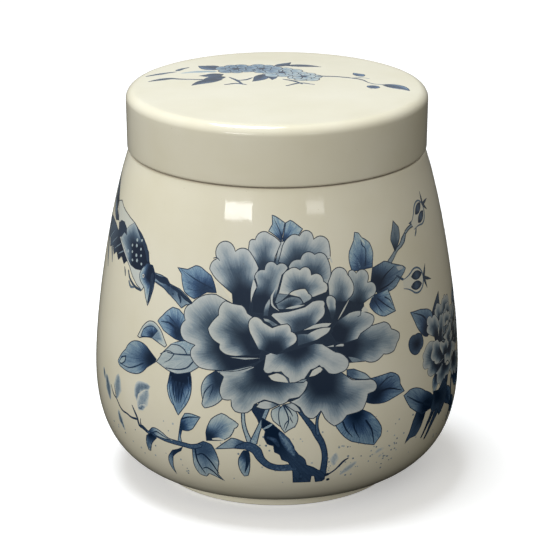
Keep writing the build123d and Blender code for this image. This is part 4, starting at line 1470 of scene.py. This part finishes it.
def draw_bird(art):
    """A small bird hanging head down, its speckled wing folded and its other wing spread behind it."""
    art.foliage((-66, 90), [
        (-95, 94.6), (-86, 96, 0.05), (-78, 95.6), (-70, 93.4), (-62, 87.6), (-64.4, 85.6), (-67, 87.4),
        (-69.4, 85.6), (-72, 87.6), (-74.6, 86), (-77.4, 88.4), (-81, 86.8), (-83.4, 89.4), (-88, 88.6),
        (-89.4, 91),
    ], 1.0, 0.7, tint=0.1)
    for step in range(5):
        across = -68 - 4.6 * step
        art.stroke([
            (across + 3.6, 90.4 + 0.9 * step), (across, 88.6 + 0.6 * step), (across - 2, 87.6 + 0.5 * step),
        ], [0.15, 0.4, 0.2], 0.5, 0.1)
    art.stroke([(-86, 89.6), (-83, 85), (-79.6, 80.6)], [2.2, 1.5, 0.4], 0.66, 0.1)
    art.stroke([(-79, 88.6), (-76.6, 85.8), (-75, 83.4)], [1.6, 1.1, 0.3], 0.72, 0.1)
    art.foliage((-81, 101.4), [
        (-79.6, 99.6), (-80.4, 103), (-84.4, 106.4, 0.1), (-92.6, 110.4), (-89.6, 105, 0.1), (-84.6, 101.2),
    ], 1.0, 0.75, tint=0.1)
    art.petal((-76, 99), [
        (-74.6, 97.4), (-79, 99.6, 0.05), (-87, 102.4), (-91, 103), (-86, 99.6, 0.1), (-79, 96.4),
    ], 0.9, 0.55, 0.2, 0.9, tint=0.2)
    art.petal((-58, 90), [
        (-80.4, 102.8), (-76.4, 103.9), (-72.6, 102.5), (-66.5, 101.2), (-61.5, 100.2, 0.05), (-56.5, 97.8),
        (-53, 95.4), (-50.2, 93), (-49.4, 90.4), (-47.8, 87.8), (-50, 82), (-51.5, 80.2), (-54.5, 81.2),
        (-57.5, 83.2), (-60.4, 85.9), (-64.6, 88.6), (-68.8, 91.2), (-73.3, 93.9), (-74.6, 96.4),
        (-76.8, 98.6),
    ], 0.14, 0.1, tint=0.2)
    art.petal((-54.5, 89.6), [
        (-61.5, 100), (-56.5, 97.8), (-53, 95.4), (-50.2, 93), (-49.4, 90.4), (-48.6, 87.6), (-53, 86.4),
        (-56.3, 86), (-59.6, 86.5), (-62.9, 88.4), (-66, 90.6), (-70.2, 92.8), (-68, 95.6), (-64.5, 98.4),
    ], 1.0, 0.2, 0.45, 1.0, line=0.12, tint=0.15)
    art.stroke([
        (-59.6, 99.2), (-55.4, 96.6), (-51.8, 93.4), (-50.2, 90.2),
    ], [0.3, 1.6, 1.8, 1.0], 0.92, 0.4)
    art.patch([
        (-74.6, 96.6), (-72.5, 98.2), (-69.3, 98.4), (-66.4, 97), (-65.6, 94.8), (-67.8, 95.2),
        (-69.4, 93.4), (-71, 92.8), (-73, 94),
    ], 0.93, 0.4)
    rows = ((-57.8, 95.2, 2), (-60.4, 92.9, 3), (-62.6, 90.4, 4), (-59, 88.4, 3))
    for row, (left, up, count) in enumerate(rows):
        for step in range(count):
            art.dot(left + 2.8 * step, up + 0.5 * (step % 2), 1.15 - 0.25 * ((step + row) % 2), 0.3, 0.5)
    art.stroke([(-63.6, 85), (-62.8, 83.8), (-62.2, 82.4)], [0.3, 0.8, 0.4], 0.85, 0.1)
    art.stroke([(-60.6, 84.6), (-59, 82.4), (-55.5, 80.6), (-52, 80.2)], [0.6, 0.8, 0.9, 0.8], 0.85, 0.1)
    art.stroke([(-59.4, 81.4), (-58, 80), (-56, 80.2)], [0.7, 1.0, 0.5], 0.6, 0.1)
    art.foliage((-47.6, 86), [
        (-53.8, 85, 0.2), (-52.4, 82.6), (-50.5, 81.4), (-49.3, 78.5), (-47.8, 76), (-46.8, 78.2),
        (-45.7, 82), (-45.3, 85.9, 0.1), (-47.4, 89.4), (-50.4, 89.4), (-52.6, 87.4, 0.1),
    ], 1.0, 0.2, 0.35, tint=0.7)
    art.stroke([(-47, 86.4), (-46.9, 82), (-47.8, 77.2)], [1.4, 1.6, 0.6], 0.93, 0.4)
    art.dot(-51.6, 85, 1.3, 0.12)
    art.dot(-51.6, 85, 0.65, 0.97)


def draw_specks(art, across, up, count, seed):
    """Loose pale dots of ink scattered over a stretch of the wall."""
    scatter = np.random.default_rng(seed)
    for _ in range(count):
        place = (scatter.uniform(*across), scatter.uniform(*up))
        art.dot(*place, size=scatter.uniform(0.35, 0.8), ink=scatter.uniform(0.22, 0.55), tint=0.0)


# ---------------------------------------------------------------------------
# The leaves beside the second flower, round to the right
# ---------------------------------------------------------------------------
def draw_side_stems(art):
    """The stalk of the second flower and the leaves on its far side."""
    art.stem([
        (71, 54), (69.4, 47), (66, 41.6), (62.4, 37), (59.4, 33), (57, 28.4),
    ], [1.6, 2.6, 3.8, 3.4, 2.2, 1.0], 0.85, 0.4)
    art.stem([(72.5, 54), (74.4, 47), (73.6, 41), (75, 35), (74, 29)], [1.0, 1.6, 1.5, 1.4, 0.8], 0.7, 0.4)
    art.leaf((74.6, 45), (87, 38), 8, 0.1, 0.95, 0.5, veins=4)
    art.leaf((74.6, 38), (82.4, 30), 5, -0.1, 0.95, 0.55, veins=3)
    art.leaf((66.4, 42), (74, 34.6), 6, 0.1, 1.0, 0.7, veins=3)
    art.leaf((84, 56), (95, 60), 7.4, 0.14, 0.95, 0.45, veins=4)
    art.leaf((80, 65), (90, 74), 7, -0.12, 0.95, 0.5, veins=4)


def draw_side_leaves(art):
    """The leaves on the near side of the second flower."""
    art.foliage((57.5, 66), [
        (49.2, 73.7), (54.8, 73.4), (58.3, 72.6, 0.1), (61.2, 71, 0.2), (61.4, 67, 0.1), (59.2, 64.4),
        (57.4, 63.5, 0.2), (54, 65.4, 0.1), (51.2, 69.6),
    ], 0.98, 0.5, tint=0.7)
    art.stroke([(59, 66.5), (56, 70.6), (51, 73)], [0.8, 0.6, 0.2], 0.97, 0.7)
    art.foliage((51.4, 62.6), [
        (47.2, 62.6, 0.6), (50.8, 66, 0.5), (54.8, 63.6, 0.4), (53, 60.4, 0.3), (50, 59.4, 0.3),
    ], 1.0, 0.75, tint=0.4)
    art.foliage((63.4, 68), [
        (68, 75.8), (67.6, 71, 0.05), (65.4, 66.6), (62, 66.8, 0.1), (61.4, 70.4, 0.1),
    ], 1.0, 0.8, tint=0.2)


def draw_side_roots(art):
    """The leaves under the second flower."""
    art.stroke([(61, 40), (58.6, 36.4), (56.4, 33), (54.6, 29.6)], [2.2, 2.2, 1.4, 0.7], 0.92, 0.3)
    art.foliage((54, 38.4), [
        (50, 40.6), (48.4, 37.4), (47.2, 33.6, 0.1), (46, 30), (48.2, 31.4), (51, 31.5, 0.1), (53.6, 35),
        (55.4, 39.4),
    ], 1.0, 0.74, tint=0.4)
    art.foliage((62, 42), [
        (57.6, 39.6), (59.4, 44.6), (62.6, 44), (66.6, 46.6, 0.1), (69.6, 44, 0.1), (69, 38.6, 0.1),
        (64.4, 34.4), (62, 37.4), (59, 37),
    ], 1.0, 0.82, tint=0.4)
    art.foliage((55, 41), [
        (43.8, 47.6), (46.7, 48.9, 0.1), (50, 48.7, 0.1), (54.4, 46.4, 0.1), (60, 42.6), (58, 39),
        (53, 38.6), (49.7, 40.4), (46.8, 42.6, 0.05),
    ], 1.0, 0.5, tint=0.6)
    art.stroke([(57, 40.6), (51, 43.4), (45.4, 47)], [0.8, 0.6, 0.2], 0.97, 0.6)


# ---------------------------------------------------------------------------
# The spray on the lid
# ---------------------------------------------------------------------------
def draw_small_bloom(art, across, up, size, turn=0.0, dark=0.9, pale=0.3):
    """A small many-petalled flower seen from above: two rings of petals round a dark eye."""
    for ring, (count, reach, half_angle) in enumerate(((7, 1.0, 0.62), (5, 0.62, 0.75))):
        for k in range(count):
            heading = turn + 2 * math.pi * k / count + 0.4 * ring
            far = reach * size * (1 + 0.12 * math.sin(5 * heading + 2 * ring))
            left, right = (
                (across + 0.78 * far * math.cos(a), up + 0.78 * far * math.sin(a))
                for a in (heading - half_angle * 0.85, heading + half_angle * 0.85)
            )
            tip = (across + far * math.cos(heading), up + far * math.sin(heading))
            art.petal((across, up), [
                (across, up), (*left, 0.35), (*tip, 0.35), (*right, 0.1),
            ], dark, pale, 0.2, 0.95, line=0.32, tint=0.5)
    art.dot(across, up, size * 0.34, 0.95, 0.5)


def draw_lid_spray(art):
    """The spray across the lid: four small flowers between thin stalks with leaves."""
    art.stroke([(-42.6, 12.6), (-38, 15.5), (-33, 18)], [0.6, 1.8, 0.5], 0.75)
    art.stroke([(-32.6, 19.8), (-31, 22), (-29, 23.8)], [1.8, 1.4, 0.4], 0.8)
    art.stroke([
        (-41.5, 5.8), (-38.5, 7.6), (-34.6, 9), (-31, 8), (-24, 7),
    ], [0.5, 2.4, 1.4, 0.9, 1.0], 0.85)
    art.brush([(-31, 16), (-26.4, 17.4), (-20.4, 17.6)], [1.2, 3.2, 2.4], 0.4, 0.5)
    for foot, tip, width, bend in (
        ((-18, 22), (-26, 25.8), 6.6, 0.1),
        ((-17.4, 13.6), (-25.4, 12), 4.6, 0.05),
        ((-16.6, 10), (-24, 5.4), 5.0, -0.1),
        ((-17.6, 7), (-27.4, -0.4), 4.6, -0.1),
        ((-4.6, 13.6), (-8, 4), 5.0, 0.1),
        ((-3, 14), (-1.6, 6), 3.6, 0.1),
        ((2.6, 25), (14.6, 23.6), 3.2, 0.08),
        ((-1, 24.6), (4.6, 30), 3.6, -0.1),
    ):
        art.leaf(foot, tip, width, bend, 1.0, 0.78, veins=2, tint=0.7)
    for points in (
        [(-15.4, 9.6), (-13, 5.6), (-11, 0.4)],
        [(-16.8, 0.2), (-13, 1.6), (-9.8, 0)],
        [(-12.8, 5.4), (-10, 6.4), (-8, 9)],
        [(2, 7), (5.6, 4.4), (8.2, 0.8)],
        [(3, -1.6), (7.4, 2), (12, 0.2)],
    ):
        art.stroke(points, [0.6, 1.2, 0.5], 0.8)
    draw_small_bloom(art, 8.6, 10.6, 6.2, 0.9, 0.7, 0.2)
    draw_small_bloom(art, 1.6, 16, 6.6, 0.4, 0.75, 0.24)
    draw_small_bloom(art, -5, 21, 6.6, 0.1, 0.95, 0.36)
    draw_small_bloom(art, -13.4, 21, 6.6, 0.3, 1.0, 0.42)
    art.stroke([
        (13.4, 11.2), (19.5, 10.6), (24, 9), (27.5, 7), (29.4, 3.6),
    ], [1.3, 0.9, 0.9, 0.8, 0.4], 0.85)
    art.stroke([(24, 9), (27.4, 9.6), (30, 8.6)], [0.5, 0.5, 0.2], 0.7)
    art.foliage((26, 13), [(25, 16), (28.4, 14.2, 0.3), (28.2, 11.4, 0.4), (25.4, 12.6, 0.3)], 0.9, 0.6)
    art.foliage((30.6, -1.8), [
        (29, -0.6, 0.4), (32.6, -1, 0.5), (32, -3.6, 0.5), (29.4, -3, 0.4),
    ], 0.95, 0.7)
    art.stroke([(29.4, 3.6), (31.4, 1.8), (34.6, 1)], [0.4, 0.5, 0.6], 0.7)
    art.leaf((33.8, 1), (42.4, -6), 4.8, 0.12, 0.95, 0.62, veins=3, tint=0.7)


# ---------------------------------------------------------------------------
# The whole pictures
# ---------------------------------------------------------------------------
def draw_garden(art):
    """The peony with its leaves, stems and trunk."""
    draw_high_leaves(art)
    draw_branch(art)
    draw_right_leaves(art)
    draw_left_buds(art)
    draw_root_leaves(art)
    draw_left_twig(art)
    draw_right_twig(art)
    draw_trunk(art)
    draw_hanging_bud(art)
    draw_peony(art)


def scene_artwork(middle, name):
    """The whole picture: the big peony at the middle, the bird to its left, a second flower to its right."""
    art = Artwork()
    art.part = name + "_right"
    art.move_to(across=middle)
    draw_specks(art, across=(40, 84), up=(22, 40), count=44, seed=5)
    draw_side_stems(art)
    draw_side_leaves(art)
    art.move_to(across=middle + 73, up=22.3, scale=0.48, turn=6)
    draw_peony(art)
    art.move_to(across=middle)
    draw_side_roots(art)
    art.part = name
    draw_specks(art, across=(-40, 40), up=(22, 44), count=60, seed=2)
    draw_specks(art, across=(16, 42), up=(23, 36), count=42, seed=7)
    draw_garden(art)
    art.part = name + "_right"
    draw_hips(art)
    art.part = name + "_bird"
    draw_specks(art, across=(-72, -42), up=(24, 34), count=18, seed=3)
    draw_bird(art)
    return art


def lid_artwork():
    """What the lid's top shows."""
    art = Artwork()
    art.part = "print_lid"
    draw_lid_spray(art)
    return art


# ---------------------------------------------------------------------------
# Everything in its place
# ---------------------------------------------------------------------------
make_camera()
glaze = porcelain_material()
bisque = bisque_material()
silicone = silicone_material()
cobalt = print_material()

jar_profile = turned_profile("jar_body")
lid_profile = turned_profile("lid")
seal_profile = turned_profile("seal_ring")

jar = turned_mesh("jar_porcelain", jar_profile)
jar.data.materials.append(glaze)
jar.data.materials.append(bisque)
bare_clay(jar, lambda radius, z, normal: z < FOOT_TOP and normal.z < FACES_DOWN)
bare_clay(jar, lambda radius, z, normal: radius > LEDGE_INSIDE and z > LEDGE_LOW and normal.z > FACES_UP)
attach(jar, "jar")
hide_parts("jar_body")

lid = turned_mesh("lid_porcelain", lid_profile)
lid.data.materials.append(glaze)
lid.data.materials.append(bisque)
bare_clay(lid, lambda radius, z, normal: z < RIM_HIGH and normal.z < FACES_DOWN)
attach(lid, "lid")
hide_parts("lid")

seal = turned_mesh("seal_silicone", seal_profile)
seal.data.materials.append(silicone)
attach(seal, "seal")
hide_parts("seal_ring")

wall = Skin(jar_profile, FOOT_EDGE, outwards=True)
top = Skin(lid_profile, (0.0, cad_high.z), outwards=False)
belly_radius = max(jar_profile[:, 0])
half_round = math.pi * belly_radius / MM

make_stage()
lay_prints(scene_artwork(0.0, "print_front"), on_wall, cobalt, "jar")
lay_prints(scene_artwork(half_round, "print_back"), on_wall, cobalt, "jar")
lay_prints(lid_artwork(), on_lid, cobalt, "lid")
